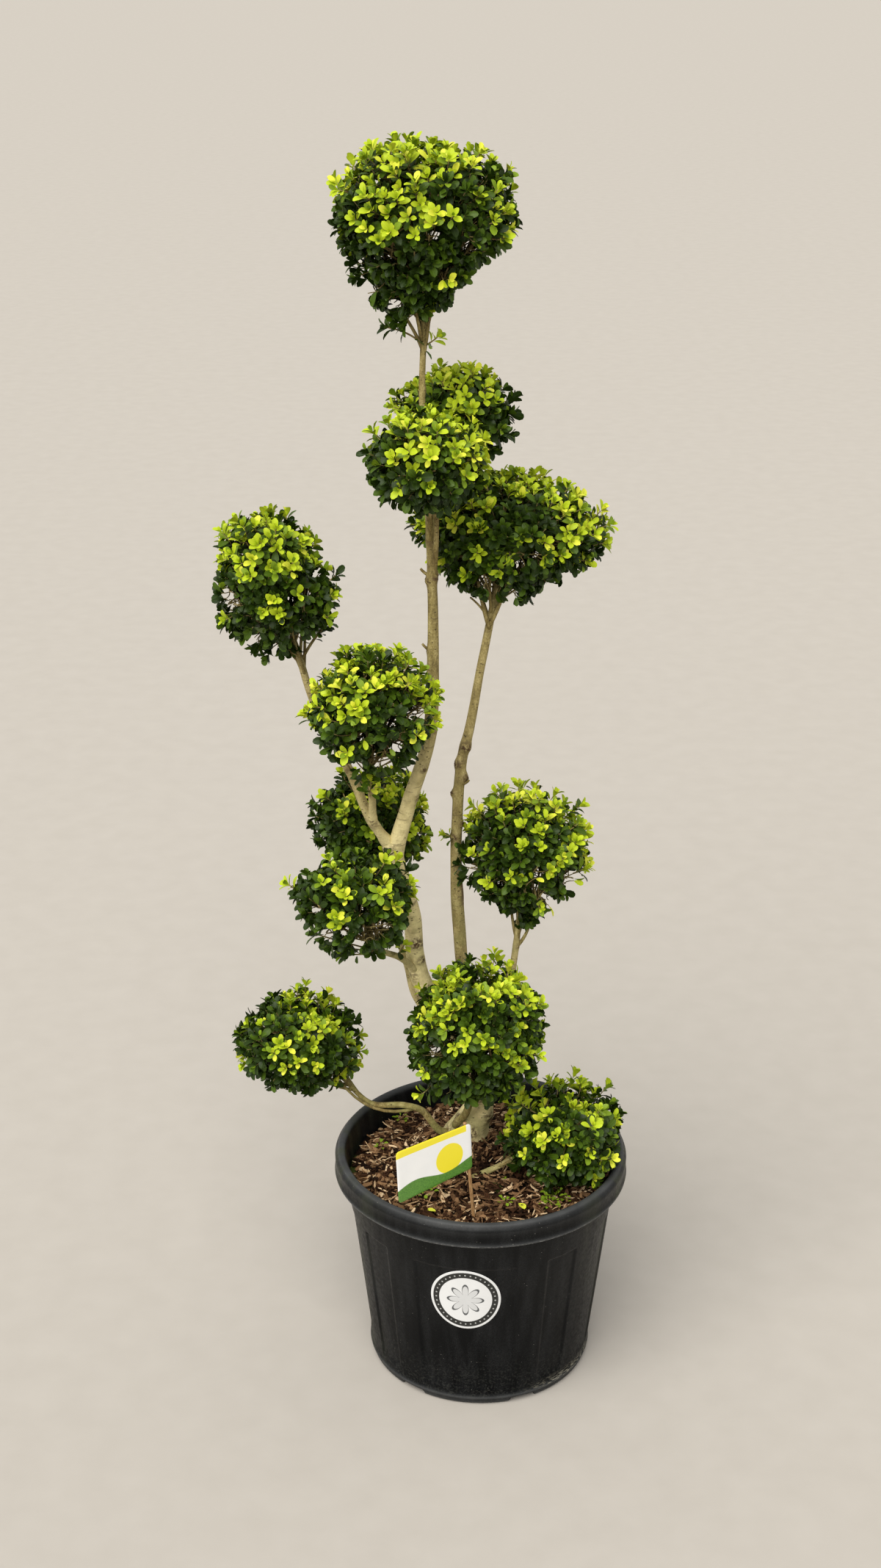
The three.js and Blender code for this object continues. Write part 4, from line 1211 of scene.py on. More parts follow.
def limb_surface(limb, seed):
    """Rings along the path: the solid's taper and the relief, both fading over the far end."""
    path = limb_path(limb)
    total = run_along(path)[-1]
    run = np.linspace(0, total, max(int(total / STATION), 10))
    centre = at_run(path, run)
    led_on = np.linalg.norm(path[-1] - path[-25]) if "ball" in limb else CAP_LENGTH
    own_run = run - (total - limb["length"] - led_on)
    share = np.clip(own_run / limb["length"], 0, None)
    beyond = np.clip((own_run - limb["length"]) / led_on, 0, 1)
    fade = 1 - 0.6 * beyond if "ball" in limb else np.sqrt(1 - np.minimum(beyond, 0.98) ** 2)
    radius = limb_radius(limb, share)[:, None]
    relief_mm, knotty, scarred = bark_relief(limb, seed, run[:, None], own_run[:, None], centre[:, 2:],
                                             radius, ring_angles(LIMB_SIDES)[None, :])
    points, faces = tube(centre, (radius + relief_mm) * fade[:, None])
    # The pale mark is partly bleached bark and partly painted light.
    near_pale, far_pale = PALE_AND_LIT_BARK.get(limb["name"], (0, 0))
    bleached_and_lit = near_pale + (far_pale - near_pale) * smooth_step(share / PALE_SHARE)
    marks = {"knot": np.append(knotty, [0, 0]), "scar": np.append(scarred, [0, 0]),
             "pale": np.append(np.repeat(bleached_and_lit, LIMB_SIDES), [near_pale, far_pale])}
    return points, faces, marks


# %% [markdown]
# The bark's colour starts as long streaks and fine flecks of olive and beige. Plain colours are laid over
# it: bleached patches where the mesh says pale, which also paint light on the trunk where the balls
# shade it, a green film that is stronger low down, dark pores, faint rings round the stem, brown knots
# and the pruning scar.

# %% The bark's finish
def bark_finish():
    """Olive beige bark: streaks and fine flecks, green film low down, dark pores, brown knots and scars."""
    finish, tree, shader = start_finish("holly_bark", 0.75, 0.3)
    where = place(tree)
    streak = noise(tree, place(tree, (1, 1, 0.35)), 120, 6)
    fleck = noise(tree, place(tree, (1, 1, 0.6)), 620, 4)
    blend = sums(tree, "ADD", times(tree, streak, 0.62), times(tree, fleck, 0.38))
    tone = ramp(tree, blend, [(0.34, (0.11, 0.078, 0.024)), (0.5, (0.26, 0.20, 0.066)),
                              (0.66, (0.47, 0.385, 0.165))])
    height = axes(tree, where)[2]
    # Pale patches: partly bleached bark, partly painted light where the balls shade the trunk.
    bleach_and_light = times(tree, mark(tree, "pale"), patches(tree, where, 75, 7, 0.32, 0.56, 0.5, 1.0))
    film = times(tree, span(tree, height, 0.9, 0.33), patches(tree, where, 45, 6, 0.42, 0.62))
    holes = specks(tree, place(tree, (1, 1, 1.8)), 120, 0.12, 0.22)
    pores = times(tree, holes, patches(tree, where, 50, 2, 0.4, 0.55))
    rings = noise(tree, place(tree, (1, 1, 7)), 38, 4)
    knot = times(tree, span(tree, mark(tree, "knot"), 0.2, 0.8), patches(tree, where, 240, 4, 0.36, 0.56))
    scar = times(tree, mark(tree, "scar"), patches(tree, where, 260, 4, 0.25, 0.5))
    tone = coats(tree, tone, [
        (bleach_and_light, 1.0, (0.84, 0.72, 0.37)), (film, 0.5, (0.30, 0.31, 0.10)), (pores, 0.8, (0.06, 0.04, 0.02)),
        (span(tree, rings, 0.60, 0.68), 0.5, (0.12, 0.085, 0.04)), (knot, 1.0, (0.085, 0.048, 0.022)),
        (scar, 1.0, (0.13, 0.055, 0.028))])
    link(tree, tone, shader, "Base Color")
    link(tree, span(tree, streak, 0.3, 0.7, 0.85, 0.62), shader, "Roughness")
    fine = sums(tree, "SUBTRACT", fleck, times(tree, pores, 0.5))
    relief(tree, shader, sums(tree, "ADD", fine, times(tree, rings, 0.6)), 0.0014, 0.9)
    return finish


HOLLY_BARK = bark_finish()
for index, (limb_name, limb) in enumerate(LAID.items()):
    limb_points, limb_faces, limb_marks = limb_surface(limb, 100 + index)
    put_piece(limb_name, limb_points, limb_faces, HOLLY_BARK, [limb_name], marks=limb_marks)

# %% [markdown]
# A clipped ball is a shell of short leafy sprigs, fed by ever finer twigs that fork off the stem. The
# solids' rule says where sprigs go: directions spread evenly over a sphere by the golden angle, tips
# just below the outline, and leaves that turn round each tip by the golden angle again. Here the rule
# is carried on: main twigs, side twigs and sprigs are three such sets, each finer than the last, and
# every twig starts on the nearest twig of the coarser set.

# %% Directions and lumps
def spread(count, turn):
    """Directions spread evenly over a sphere: equal steps of level, the golden angle round."""
    level = 1 - 2 * (np.arange(count) + 0.5) / count
    return polar(np.sqrt(1 - level * level), np.arange(count) * GOLDEN_ANGLE + turn, level)


def lumps(direction, seed, pace, count=9):
    """Smooth noise over directions, about -1 to 1, from a few waves that run through the sphere."""
    random = np.random.default_rng(seed)
    pulls = unit(random.normal(size=(count, 3))) * random.uniform(0.6, 1.4, (count, 1)) * pace
    phase = random.uniform(0, 2 * math.pi, count)
    return np.sin(direction @ pulls.T + phase).sum(-1) * math.sqrt(2 / count) / 1.6


def bow(start, middle, end, rings):
    """Curved paths that leave start for middle and arrive at end."""
    t = np.linspace(0, 1, rings)[None, :, None]
    return (1 - t) ** 2 * start[:, None] + 2 * t * (1 - t) * middle[:, None] + t ** 2 * end[:, None]


def taper(start, end, paths):
    """Radii that go evenly from start to end along each path."""
    return np.broadcast_to(np.linspace(start, end, paths.shape[1]), paths.shape[:2])


def pick_along(paths, nearest, share):
    """A place on the chosen path of each twig, a share of the way along it."""
    rings = paths.shape[1]
    where = share * (rings - 1)
    low = np.minimum(where.astype(int), rings - 2)
    part = (where - low)[:, None]
    return paths[nearest, low] * (1 - part) + paths[nearest, low + 1] * part


# %% [markdown]
# Nothing may grow where something else is. Each rule below takes points and says which of them are
# clear: of the pot, of the limbs' bark, of the other balls, and of the lines of sight through the
# openings. A sprig or leaf that isn't clear is left out.

# %% What twigs and leaves keep clear of
LIMB_STEP = 8
LIMB_RUNS = [np.arange(0, limb["length"], LIMB_STEP) for limb in LAID.values()]
LIMB_SAMPLES = np.concatenate([at_run(limb["curve"], run) for limb, run in zip(LAID.values(), LIMB_RUNS)])
LIMB_ROOM = np.concatenate([limb_radius(limb, run / limb["length"])
                            for limb, run in zip(LAID.values(), LIMB_RUNS)])
BARK_ROOM = 2.5


def clear_of_pot(points):
    """True for points outside the rim, above it, or within the wall and above the mulch."""
    radius = np.hypot(points[:, 0], points[:, 1])
    over = points[:, 2] > POT_HEIGHT + 1
    in_wall = radius < wall_radius(points[:, 2]) - WALL_THICKNESS - 2
    within = in_wall & (points[:, 2] > MULCH_WALL_HEIGHT + 6)
    return (radius > RIM_RADIUS + 1) | over | within


def clear_of_limbs(points):
    """True for points that keep a few millimetres from every limb's bark."""
    away = np.linalg.norm(points[:, None] - LIMB_SAMPLES[None], axis=-1) - LIMB_ROOM
    return away.min(1) > BARK_ROOM


def clear_of_balls(name, points):
    """True for points that lie in no other ball."""
    others = [ball for key, ball in BALLS.items() if key != name]
    return ~np.any([inside_ball(ball, points, 0.97) for ball in others], axis=0)


def clear_of_openings(points):
    """True for points off the lines of sight through the places where a ball is open."""
    eye = np.array(CAMERA_PLACE) / MM
    clear = np.ones(len(points), bool)
    for name, spots in OPENINGS.items():
        for x, z, radius in spots:
            spot = np.array([x, BALLS[name]["centre"][1], z])
            sight = unit(spot - eye)
            offset = points - spot
            depth = offset @ sight
            aside = np.linalg.norm(offset - depth[:, None] * sight, axis=1)
            clear &= (aside > radius) | (np.abs(depth) > OPENING_REACH)
    return clear


def chosen(table, keep):
    """The rows of a table of arrays for which keep is true."""
    return {key: values[keep] for key, values in table.items()}


# %% [markdown]
# Now the three sets of twigs. Main twigs leave the stem and reach half way out, side twigs leave the
# nearest main twig and reach three quarters, and each sprig leaves the nearest side twig and ends just
# below the clipped outline. A second, sparser set of sprigs fills the shade inside. Some outer sprigs
# have new growth, most of them on the tops: a smooth noise over the directions puts them in patches.

# %% Main and side twigs
MAIN_TWIGS = 13
SIDE_TWIG_SPACING = 38
SPRIG_SPACING = 18.5
SPRIG_INSET = 18
INNER_SPACING = 26
INNER_DEPTH = (22, 46)
TWIG_RADII = {"main": (2.4, 1.5), "side": (1.5, 1.0), "sprig": (1.0, 0.65)}
RIPE = 0.36
NEW = 0.6


def ball_area(ball):
    """Area of the outline, by the usual rule of thumb for an ellipsoid."""
    a, b, c = ball["half"]
    power = 1.6
    pairs = (a * b) ** power + (a * c) ** power + (b * c) ** power
    return 4 * math.pi * (pairs / 3) ** (1 / power)


def main_twigs(ball, limb, random):
    """Directions of the main twigs, and bowed paths from the stem to half way out in each."""
    centre = np.array(ball["centre"], float)
    entry = limb["curve"][-1]
    back = min(60.0, limb["length"] * 0.6)
    spine = np.concatenate([at_run(limb["curve"], limb["length"] - np.linspace(back, 0, 12)),
                            entry + np.linspace(0.05, 0.75, 12)[:, None] * (centre - entry)])
    aim = spread(MAIN_TWIGS, random.uniform(0, 6))
    facing = aim @ unit(entry - centre)
    start_run = (back * (1.02 - 0.75 * np.clip(facing, 0, 1))
                 + (run_along(spine)[-1] - back) * np.clip(-facing, 0, 1))
    start = at_run(spine, start_run)
    end = outline_point(ball, aim, 0.5 + random.uniform(-0.05, 0.05, MAIN_TWIGS))
    bend = start * 0.45 + end * 0.55 + [[0, 0, -6]] + random.normal(0, 4, (MAIN_TWIGS, 3))
    return aim, bow(start, bend, end, 9)


def side_twigs(name, aim, mains, random):
    """Directions of the side twigs, and paths from the nearest main twig to three quarters out."""
    ball = BALLS[name]
    count = int(ball_area(ball) / SIDE_TWIG_SPACING ** 2)
    side_aim = spread(count, random.uniform(0, 6))
    nearest = np.argmax(side_aim @ aim.T, axis=1)
    start = pick_along(mains, nearest, random.uniform(0.35, 1.0, count))
    reach = 0.74 + 0.85 * np.minimum(swell(name, side_aim), 0) / np.mean(ball["half"])
    end = outline_point(ball, side_aim, reach + random.uniform(-0.05, 0.04, count))
    bend = (start + end) / 2 + random.normal(0, 3.5, (count, 3)) + [[0, 0, -3]]
    return side_aim, bow(start, bend, end, 6)


# %% Sprigs, and a whole ball
def grow_sprigs(name, seed, random):
    """Tips of the outer and inner sprigs, with their directions, growth, vigour and new ones."""
    ball = BALLS[name]
    outer_count = int(ball_area(ball) / SPRIG_SPACING ** 2)
    inner_count = int(ball_area(ball) / INNER_SPACING ** 2)
    direction = np.concatenate([spread(outer_count, random.uniform(0, 6)),
                                spread(inner_count, random.uniform(0, 6))])
    direction = unit(direction + random.normal(0, 0.06, direction.shape))
    count = len(direction)
    inner = np.arange(count) >= outer_count

    patch = lumps(direction, seed + 7, 7.0)
    base, aside = NEW_GROWTH[name]
    vigour = base + aside * direction[:, 0] + 0.46 * np.clip(direction[:, 2] + 0.1, -0.7, 1) + 0.26 * patch
    vigour = vigour + random.normal(0, 0.15, count)
    new = (vigour > NEW) & ~inner

    depth = SPRIG_INSET - 6 * lumps(direction, seed + 50, 5.0) + random.normal(0, 5.5, count).clip(-12, 11)
    depth = depth - np.where(new, random.uniform(0, 14, count), 0) - swell(name, direction)
    depth = np.where(inner, depth + random.uniform(*INNER_DEPTH, count), depth)
    tip = outline_point(ball, direction, 1 - depth / np.mean(ball["half"]))
    growth = unit(outline_normal(ball, direction) + 0.45 * direction + random.normal(0, 0.3, direction.shape)
                  + np.array([0, 0, 0.5]))
    keep = clear_of_balls(name, tip) & clear_of_pot(tip) & clear_of_limbs(tip)
    return chosen({"tip": tip, "direction": direction, "growth": growth, "inner": inner, "new": new,
                   "vigour": vigour}, keep)


def grow_ball(name, seed):
    """The twigs of a ball as tubes, and its sprigs."""
    limb = next(limb for limb in LAID.values() if limb.get("ball") == name)
    random = np.random.default_rng(seed)
    aim, mains = main_twigs(BALLS[name], limb, random)
    side_aim, sides = side_twigs(name, aim, mains, random)
    sprigs = grow_sprigs(name, seed, random)
    tip = sprigs["tip"]
    nearest = np.argmax(sprigs["direction"] @ side_aim.T, axis=1)
    start = pick_along(sides, nearest, random.uniform(0.4, 1.0, len(tip)))
    reach = np.linalg.norm(tip - start, axis=1, keepdims=True)
    stalks = bow(start, tip - sprigs["growth"] * reach * 0.6, tip, 5)
    twigs = join([bundle(paths, taper(*TWIG_RADII[kind], paths), corners)
                  for kind, paths, corners in (("main", mains, 7), ("side", sides, 5), ("sprig", stalks, 3))])
    return twigs, sprigs


# %% [markdown]
# Each sprig ends in about a dozen small leathery leaves, which turn round it by the golden angle. Old
# leaves are dark green, and sprigs that have grown since the last clipping end in small lime or yellow
# leaves, mostly on the tops and flanks of the balls. The first table says how far below the tip each
# leaf sits, the next how far it leans out, and the last how large it is.

# %% The leaves of the sprigs
LEAF_DROPS = np.array([0, 0.5, 1.0, 1.8, 2.8, 4.4, 7, 10, 13, 16, 19.5, 23])
LEAF_TILTS = np.radians([12, 24, 33, 40, 46, 51, 55, 59, 64, 68, 72, 75])
LEAF_SIZES = np.array([0.6, 0.76, 0.88, 0.95, 1, 1, 1, 1, 1, 0.98, 0.95, 0.92])
YOUNG_SIZE = 0.86
INNER_START = 4
LEAF_LENGTH = 16.6
LEAF_WIDTH = 8.9
TONES = ["deep", "mid", "fresh", "lime", "yellow"]


def deal_leaves(sprigs, seed):
    """Roots, directions, sizes and tones of all leaves of a set of sprigs."""
    random = np.random.default_rng(seed)
    shape = (len(sprigs["tip"]), len(LEAF_DROPS))
    count = shape[0]
    order = np.arange(shape[1])[None, :]
    axis = sprigs["growth"]
    across, other = square_to(axis)

    turn = order * GOLDEN_ANGLE + random.uniform(0, 2 * math.pi, (count, 1)) + random.normal(0, 0.15, shape)
    openness = random.uniform(0.75, 1.2, (count, 1))
    tilt = LEAF_TILTS * openness + random.normal(0, 0.14, shape)
    around = np.cos(turn)[..., None] * across[:, None] + np.sin(turn)[..., None] * other[:, None]
    ahead = np.cos(tilt)[..., None] * axis[:, None] + np.sin(tilt)[..., None] * around
    upward = np.sin(tilt)[..., None] * axis[:, None] - np.cos(tilt)[..., None] * around
    twist = random.normal(0, 0.25, shape)[..., None]
    upward = upward * np.cos(twist) + np.cross(ahead, upward) * np.sin(twist)
    root = sprigs["tip"][:, None] - axis[:, None] * LEAF_DROPS[:, None]

    new, ripe = sprigs["new"][:, None], (sprigs["vigour"] > RIPE)[:, None]
    young_count = random.integers(6, 10, (count, 1))
    young = new & (order < young_count)
    size = random.normal(1, 0.13, shape).clip(0.68, 1.3) * LEAF_SIZES * np.where(young, YOUNG_SIZE, 1)
    dice = random.uniform(0, 1, shape)
    tone = np.where(dice < np.where(ripe, 0.45, 0.7), 0, 1)
    tone = np.where((order < 3) & ripe & (dice > 0.7), 2, tone)
    brightness = random.normal(0, 0.16, (count, 1)) + dice
    tone = np.where(young, np.where(brightness < 0.16, 2, np.where(brightness < 0.86, 3, 4)), tone)
    tone = np.where(new & (order == young_count), np.where(dice < 0.5, 2, 1), tone)
    leaves = {"root": root.reshape(-1, 3), "ahead": ahead.reshape(-1, 3), "up": upward.reshape(-1, 3),
              "length": (LEAF_LENGTH * size).ravel(), "width": (LEAF_WIDTH * size).ravel(),
              "tone": tone.ravel()}
    grown = (order >= INNER_START) | ~sprigs["inner"][:, None]
    return chosen(leaves, grown.ravel())


# %% [markdown]
# A leaf is one sheet of sixteen triangles: it is widest past its middle, cupped along its rib, and its
# tip bends back. Its fourteen points are worked out once, as shares of the leaf's length and width, and
# then placed on every root at a time. The leaves are dealt into a few plain tones, one piece for each
# tone and each third of the plant.

# %% The leaf's mesh
def leaf_meshes(leaves):
    """Puts the leaf's fourteen points on every root: stations along it, each with two edges and a rib."""
    t = np.array([0.0, 0.16, 0.42, 0.70, 0.93, 1.0])
    half = np.array([0.0, 0.40, 0.86, 1.0, 0.60, 0.0])
    sag = np.array([0.0, 0.015, 0.02, -0.01, -0.07, -0.10])
    column_t = np.concatenate([[0], np.repeat(t[1:5], 3), [1]])
    column_side = np.concatenate([[0], (half[1:5, None] * [-1, 0, 1]).ravel(), [0]])
    column_lift = np.concatenate([[0], np.repeat(sag[1:5], 3), [sag[5]]])
    cup = 0.16 * np.abs(column_side)
    side = np.cross(leaves["up"], leaves["ahead"])
    along = (1.2 + leaves["length"][:, None] * column_t)[..., None] * leaves["ahead"][:, None]
    wide = (leaves["width"][:, None] / 2 * column_side)[..., None] * side[:, None]
    lift = leaves["length"][:, None] * column_lift + leaves["width"][:, None] * cup
    points = leaves["root"][:, None] + along + wide + lift[..., None] * leaves["up"][:, None]
    first = np.array([[0, 1, 2], [0, 2, 3], [10, 13, 11], [11, 13, 12]])
    quads = np.array([[corner, corner + 3, corner + 4, corner + 1] for corner in (1, 2, 4, 5, 7, 8)])
    uv = np.stack([column_side / 2 + 0.5, column_t], axis=-1)
    faces = for_each([first, quads], len(points), len(column_t))
    return points.reshape(-1, 3), faces, np.tile(uv, (len(points), 1))


# %% The leaves' finishes
def leaf_finish(name, colour, pale, roughness):
    """Leathery leaf: one plain tone, slightly paler rib and margin, a faint mottle and a soft gloss."""
    finish, tree, shader = start_finish(name, roughness, 0.2)
    across = axes(tree, add(tree, "ShaderNodeUVMap", uv_map="surface").outputs[0])[0]
    from_rib = sums(tree, "ABSOLUTE", sums(tree, "SUBTRACT", across, 0.5))
    rib = span(tree, from_rib, 0.0, 0.07, 0.35, 0.0)
    margin = span(tree, from_rib, 0.40, 0.48, 0.0, 0.3)
    dim, bright = ((*[channel * share for channel in colour], 1) for share in (0.78, 1.2))
    tone = mix(tree, noise(tree, place(tree), 55, 2), dim, bright)
    tone = mix(tree, sums(tree, "MAXIMUM", rib, margin), tone, (*pale, 1))
    link(tree, tone, shader, "Base Color")
    relief(tree, shader, noise(tree, place(tree), 700, 2), 0.0004, 0.5)
    return finish


LEAF_FINISHES = {
    "deep": leaf_finish("leaf_deep_green", (0.016, 0.034, 0.0025), (0.066, 0.108, 0.020), 0.42),
    "mid": leaf_finish("leaf_mid_green", (0.056, 0.104, 0.006), (0.13, 0.20, 0.032), 0.42),
    "fresh": leaf_finish("leaf_fresh_green", (0.18, 0.275, 0.014), (0.28, 0.37, 0.05), 0.45),
    "lime": leaf_finish("leaf_lime", (0.43, 0.54, 0.018), (0.56, 0.63, 0.08), 0.48),
    "yellow": leaf_finish("leaf_yellow_green", (0.68, 0.71, 0.055), (0.74, 0.76, 0.13), 0.48),
}
THIRDS = {
    "upper": ["top", "upper_back", "upper_front", "upper_right"],
    "middle": ["far_left", "mid_left", "back_left", "lower_left"],
    "lower": ["low_left", "middle", "right", "low_right"],
}
SEEDS = {name: 200 + 10 * index for index, name in enumerate(BALLS)}
print("finishes", len(LEAF_FINISHES))

# %% [markdown]
# Some prongs, stubs and side shoots stand apart from the clipped masses, and one gives each its own
# start, middle and tip. The radius follows, and then what it carries: nothing, a green tuft or a lime
# one. The middle left ball also has a ragged tail of tufts that share one stem.

# %% Shoots one by one
SHOOTS = {
    "upper": [
        ((8, 100, 1088), (2, 98, 1108), (-18, 94, 1126), 1.8, ""),
        ((8, 100, 1080), (-2, 96, 1112), (-8, 92, 1150), 3.0, ""),
        ((8, 101, 1084), (20, 98, 1108), (32, 98, 1146), 3.2, ""),
        ((-80, 30, 1468), (-86, 29, 1488), (-106, 28, 1518), 2.6, ""),
        ((-84, 30, 1480), (-98, 26, 1494), (-124, 20, 1500), 1.4, "green"),
        ((-80, 30, 1474), (-72, 29, 1478), (-62, 28, 1486), 1.2, "lime"),
        ((-70, 35, 1160), (-62, 22, 1195), (-63, 6, 1284), 4.3, ""),
        ((-69, 35, 1172), (-80, 34, 1178), (-84, 34, 1184), 2.4, ""),
        ((-68, 36, 1068), (-78, 36, 1074), (-82, 36, 1080), 2.2, ""),
        ((-70, 36, 1020), (-78, 35, 1024), (-83, 34, 1031), 1.8, ""),
        ((-30, 74, 862), (-22, 66, 868), (-19, 62, 874), 2.0, ""),
    ],
    "middle": [
        ((-244, 44, 1052), (-232, 44, 1078), (-212, 42, 1102), 2.3, "green"),
        ((-247, 44, 1062), (-254, 43, 1080), (-262, 42, 1112), 2.8, ""),
        ((-118, 10, 630), (-116, 4, 640), (-108, -2, 654), 1.2, "lime"),
        ((-150, 14, 880), (-172, -6, 905), (-182, -24, 932), 2.0, ""),
        ((-205, -48, 996), (-220, -50, 1002), (-233, -50, 1011), 1.1, "lime"),
        ((-204, -48, 1000), (-216, -50, 1010), (-226, -50, 1019), 1.1, "lime"),
        ((-90, -56, 1028), (-76, -60, 1034), (-64, -62, 1045), 1.1, "lime"),
        ((-92, -56, 1036), (-80, -60, 1044), (-69, -62, 1055), 1.1, "lime"),
        ((-104, -56, 972), (-92, -60, 978), (-80, -62, 991), 1.1, "lime"),
        ((-222, 40, 1136), (-208, 40, 1140), (-198, 38, 1150), 1.1, "lime"),
        ((-220, 40, 1158), (-206, 40, 1162), (-196, 38, 1173), 1.1, "green"),
        ((-230, 40, 1098), (-216, 40, 1102), (-207, 38, 1113), 1.1, "lime"),
        ((-135, -12, 648), (-178, -34, 670), (-228, -44, 692), 1.3, "green"),
        ((-135, -12, 648), (-166, -34, 662), (-202, -48, 676), 1.2, "green"),
        ((-137, -14, 650), (-160, -38, 656), (-187, -56, 668), 1.2, "green"),
        ((-138, -16, 652), (-146, -36, 660), (-152, -58, 672), 1.1, "green"),
        ((-236, -50, 752), (-250, -50, 758), (-262, -50, 769), 1.1, "lime"),
    ],
    "lower": [
        ((49, 57, 622), (62, 55, 636), (68, 54, 662), 2.8, ""),
        ((-36, 66, 786), (-44, 62, 790), (-53, 60, 794), 1.2, "lime"),
        ((-92, 41, 369), (-160, 34, 350), (-204, 46, 412), 2.6, ""),
        ((-15, 8, 400), (2, -4, 420), (12, -18, 446), 2.6, ""),
        ((-17, 14, 388), (-34, 2, 412), (-44, -14, 440), 2.2, "green"),
        ((66, 46, 672), (72, 42, 678), (80, 38, 690), 1.1, "lime"),
        ((126, 44, 742), (136, 42, 746), (146, 40, 755), 1.1, "lime"),
        ((122, 44, 780), (132, 42, 786), (141, 40, 797), 1.1, "lime"),
    ],
}
TAIL_STEM = (-152, -22)
TAIL_TUFTS = [(-182, -42, 955, "lime"), (-165, -52, 944, "green"), (-151, -44, 930, "lime"),
              (-138, -30, 932, "green"), (-150, -36, 912, "lime"), (-166, -30, 926, "green"),
              (-122, -50, 949, "green"), (-108, -34, 949, "green"), (-117, -26, 928, "green"),
              (-98, -44, 959, "green"), (-105, -30, 938, "green"), (-135, -60, 958, "green"),
              (-143, -66, 970, "green"), (-122, -62, 969, "green"), (-170, -60, 962, "green"),
              (-187, -30, 972, "green"), (-132, -50, 942, "green"), (-162, -14, 916, "green"),
              (-139, -20, 919, "green"), (-176, -16, 942, "green")]
SHOOTS["middle"] += [((*TAIL_STEM, z - 26), ((x + TAIL_STEM[0]) / 2, (y + TAIL_STEM[1]) / 2, z - 17),
                      (x, y, z), 1.0, kind) for x, y, z, kind in TAIL_TUFTS]

# %% [markdown]
# Chance puts new growth in other places than on the real plant, so the lime tufts that catch the eye
# from the front are listed: x and z in the upright plane through the ball's middle. The tuft goes
# where the line of sight through that place meets the ball's outline.

# %% Lime tufts that face the front
FACING_TUFTS = {
    "top": [(-149, 1618), (-163, 1630), (-63, 1637), (-67, 1624), (-43, 1633), (8, 1627), (21, 1607),
            (-12, 1658), (-138, 1660)],
    "upper_front": [(-71, 1316), (-15, 1353), (-40, 1365), (-26, 1330)],
    "upper_right": [(-9, 1179), (51, 1200), (82, 1170), (117, 1194), (139, 1168), (-24, 1148), (3, 1243),
                    (105, 1175), (-11, 1213)],
    "far_left": [(-278, 1137), (-292, 1123), (-270, 1120), (-341, 1112), (-243, 1147), (-206, 1115),
                 (-201, 1145), (-251, 1190)],
    "mid_left": [(-181, 959), (-162, 1009), (-87, 984), (-168, 1022)],
    "back_left": [(-85, 742), (-101, 771), (-131, 818), (-220, 821), (-196, 857)],
    "lower_left": [(-192, 765), (-185, 753), (-133, 803), (-98, 774), (-121, 739), (-206, 807),
                   (-199, 794)],
    "middle": [(-80, 486), (-86, 450), (55, 495), (1, 539), (-49, 574), (77, 513), (-30, 594), (10, 606),
               (61, 585)],
    "right": [(81, 683), (39, 732), (9, 723), (-13, 766), (95, 742), (79, 777), (56, 778), (113, 759),
              (9, 771)],
    "low_right": [(61, 335), (89, 358), (106, 364), (155, 338), (186, 327), (162, 293), (95, 401),
                  (168, 408), (56, 419)],
}
TUFT_INSET = 8
TUFT_STEM = 30


def facing_tuft(name, x, z):
    """Start, middle and tip of a sprig where the line of sight through a place meets the ball."""
    ball = BALLS[name]
    spot = np.array([x, ball["centre"][1], z], float)
    sight = unit(spot - np.array(CAMERA_PLACE) / MM)
    line = spot + np.linspace(-150, 0, 301)[:, None] * sight
    within = inside_ball(ball, line)
    tip = (line[np.argmax(within)] if within.any() else spot) + TUFT_INSET * sight
    outwards = unit(tip - ball["centre"])
    growth = unit(outwards - 0.5 * sight + [0, 0, 0.5])
    return tip - TUFT_STEM * outwards, tip - 12 * growth, tip


for third, names in THIRDS.items():
    SHOOTS[third] += [(*facing_tuft(name, x, z), 1.0, "lime") for name in names
                      for x, z in FACING_TUFTS.get(name, [])]
    print(third, "shoots", len(SHOOTS[third]))


def grow_shoots(third):
    """Prongs, stubs and side shoots of one third: bowed twigs, some of them with a tuft of leaves."""
    start, middle, tip, thick = (np.array(column, float) for column in list(zip(*SHOOTS[third]))[:4])
    carries = np.array([kind for *_, kind in SHOOTS[third]])
    leafy = carries != ""
    sprigs = {"tip": tip[leafy], "growth": unit(tip - middle)[leafy], "inner": np.zeros(leafy.sum(), bool),
              "new": (carries == "lime")[leafy], "vigour": np.full(leafy.sum(), 0.5)}
    return bundle(bow(start, middle, tip, 9), thick[:, None] * np.linspace(1, 0.7, 9), 10), sprigs


# %% [markdown]
# A few weeds grow on the mulch, and two leaves have fallen on it. They use the same leaf mesh, strewn
# round the places of a table: x, y, how far they spread, and how many there are.

# %% Weeds and fallen leaves on the mulch
WEEDS = [(27, -32, 11, 16), (40, -19, 8, 10), (104, -87, 16, 34), (93, -98, 10, 14), (33, -100, 6, 8),
         (-117, 126, 6, 8), (-81, -76, 14, 16), (-147, 46, 6, 6)]
FALLEN = [(51, -98, 0, 1), (-81, -118, 0, 1)]


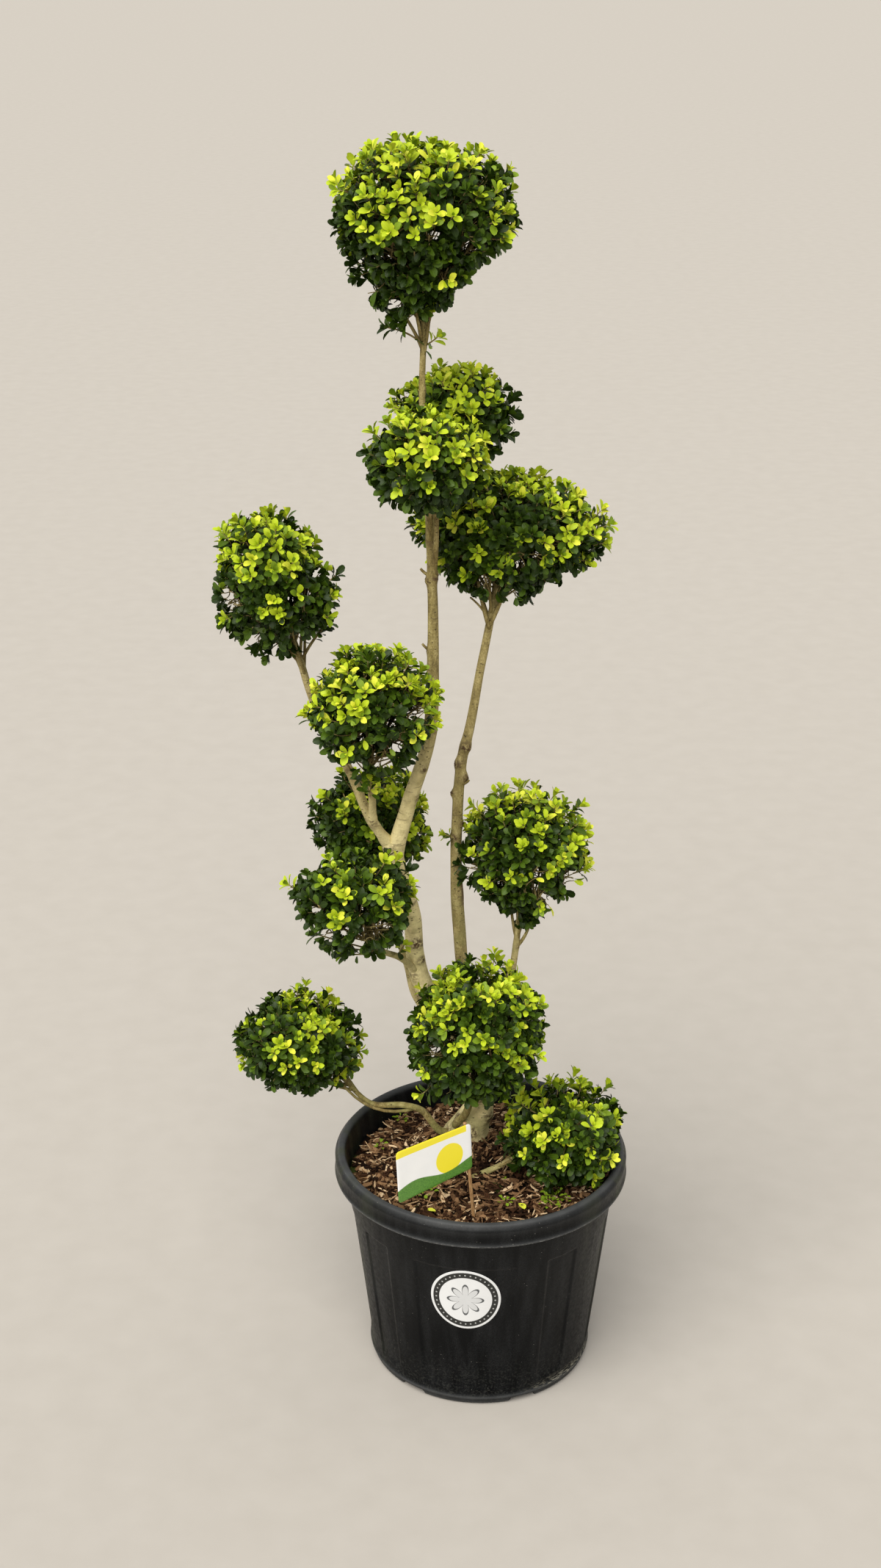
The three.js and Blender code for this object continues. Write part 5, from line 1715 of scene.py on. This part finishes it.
def strewn_leaves(table, height, sizes, lift, seed):
    """Small leaves round each place of a table: they stand outwards and up, or lie down if lift is 0."""
    random = np.random.default_rng(seed)
    table = np.array(table, float)
    count = table[:, 3].astype(int)
    middle = np.repeat(table[:, :2], count, axis=0)
    spread_out = np.repeat(table[:, 2], count)
    turn = random.uniform(0, 2 * math.pi, len(middle))
    away = np.stack([np.cos(turn), np.sin(turn)], axis=-1)
    flat = middle + away * (spread_out * np.sqrt(random.uniform(0, 1, len(middle))))[:, None]
    lifted = MULCH_WALL_HEIGHT + height + lift * random.uniform(0, 1, len(middle))
    rise = random.uniform(-0.1, 0.6, len(middle)) * (lift > 0)
    ahead = unit(np.column_stack([away, rise]))
    upward = unit(np.array([0, 0, 1.0]) + random.normal(0, 0.25, (len(middle), 3)))
    length = random.uniform(*sizes, len(middle))
    return {"root": np.column_stack([flat, lifted]), "ahead": ahead, "up": upward, "length": length,
            "width": length * random.uniform(0.55, 0.8, len(middle))}


STREWN = [
    # name, places, height over the mulch, leaf lengths, lift, tone, seed
    ("weeds", WEEDS, 6, (5, 9), 10, "fresh", 71),
    ("fallen_leaves", FALLEN, 9, (13, 17), 0, "yellow", 72),
]
for strewn_name, *how, tone_name, seed in STREWN:
    leaf_points, leaf_faces, leaf_uv = leaf_meshes(strewn_leaves(*how, seed))
    put_piece(strewn_name, leaf_points, leaf_faces, LEAF_FINISHES[tone_name], ["bark_mulch"],
              uv=leaf_uv)

# %% [markdown]
# At last everything grows. Each third of the plant becomes one piece of twigs and five pieces of leaves,
# and it stands for the balls that it hides. A leaf's tip has to be clear of the pot and the limbs, and
# its tip and middle of the openings.

# %% Growing every ball
for third, names in THIRDS.items():
    nodes = ["foliage_" + name for name in names]
    grown = [grow_ball(name, SEEDS[name]) for name in names] + [grow_shoots(third)]
    twig_points, twig_faces = join([twigs for twigs, _ in grown])
    put_piece("twigs_" + third, twig_points, twig_faces, HOLLY_BARK, nodes,
              marks={"knot": np.full(len(twig_points), 0.35)})
    dealt = [deal_leaves(sprigs, 500 + index) for index, (_, sprigs) in enumerate(grown)]
    leaves = {key: np.concatenate([part[key] for part in dealt]) for key in dealt[0]}
    leaf_tips = leaves["root"] + leaves["ahead"] * leaves["length"][:, None]
    leaf_middles = (leaves["root"] + leaf_tips) / 2
    leaves = chosen(leaves, clear_of_pot(leaf_tips) & clear_of_limbs(leaf_tips)
                    & clear_of_openings(leaf_tips) & clear_of_openings(leaf_middles))
    print(third, "sprigs", sum(len(sprigs["tip"]) for _, sprigs in grown), "leaves", len(leaves["tone"]))
    for number, tone_name in enumerate(TONES):
        leaf_points, leaf_faces, leaf_uv = leaf_meshes(chosen(leaves, leaves["tone"] == number))
        put_piece("leaves_" + third + "_" + tone_name, leaf_points, leaf_faces, LEAF_FINISHES[tone_name],
                  nodes, uv=leaf_uv)
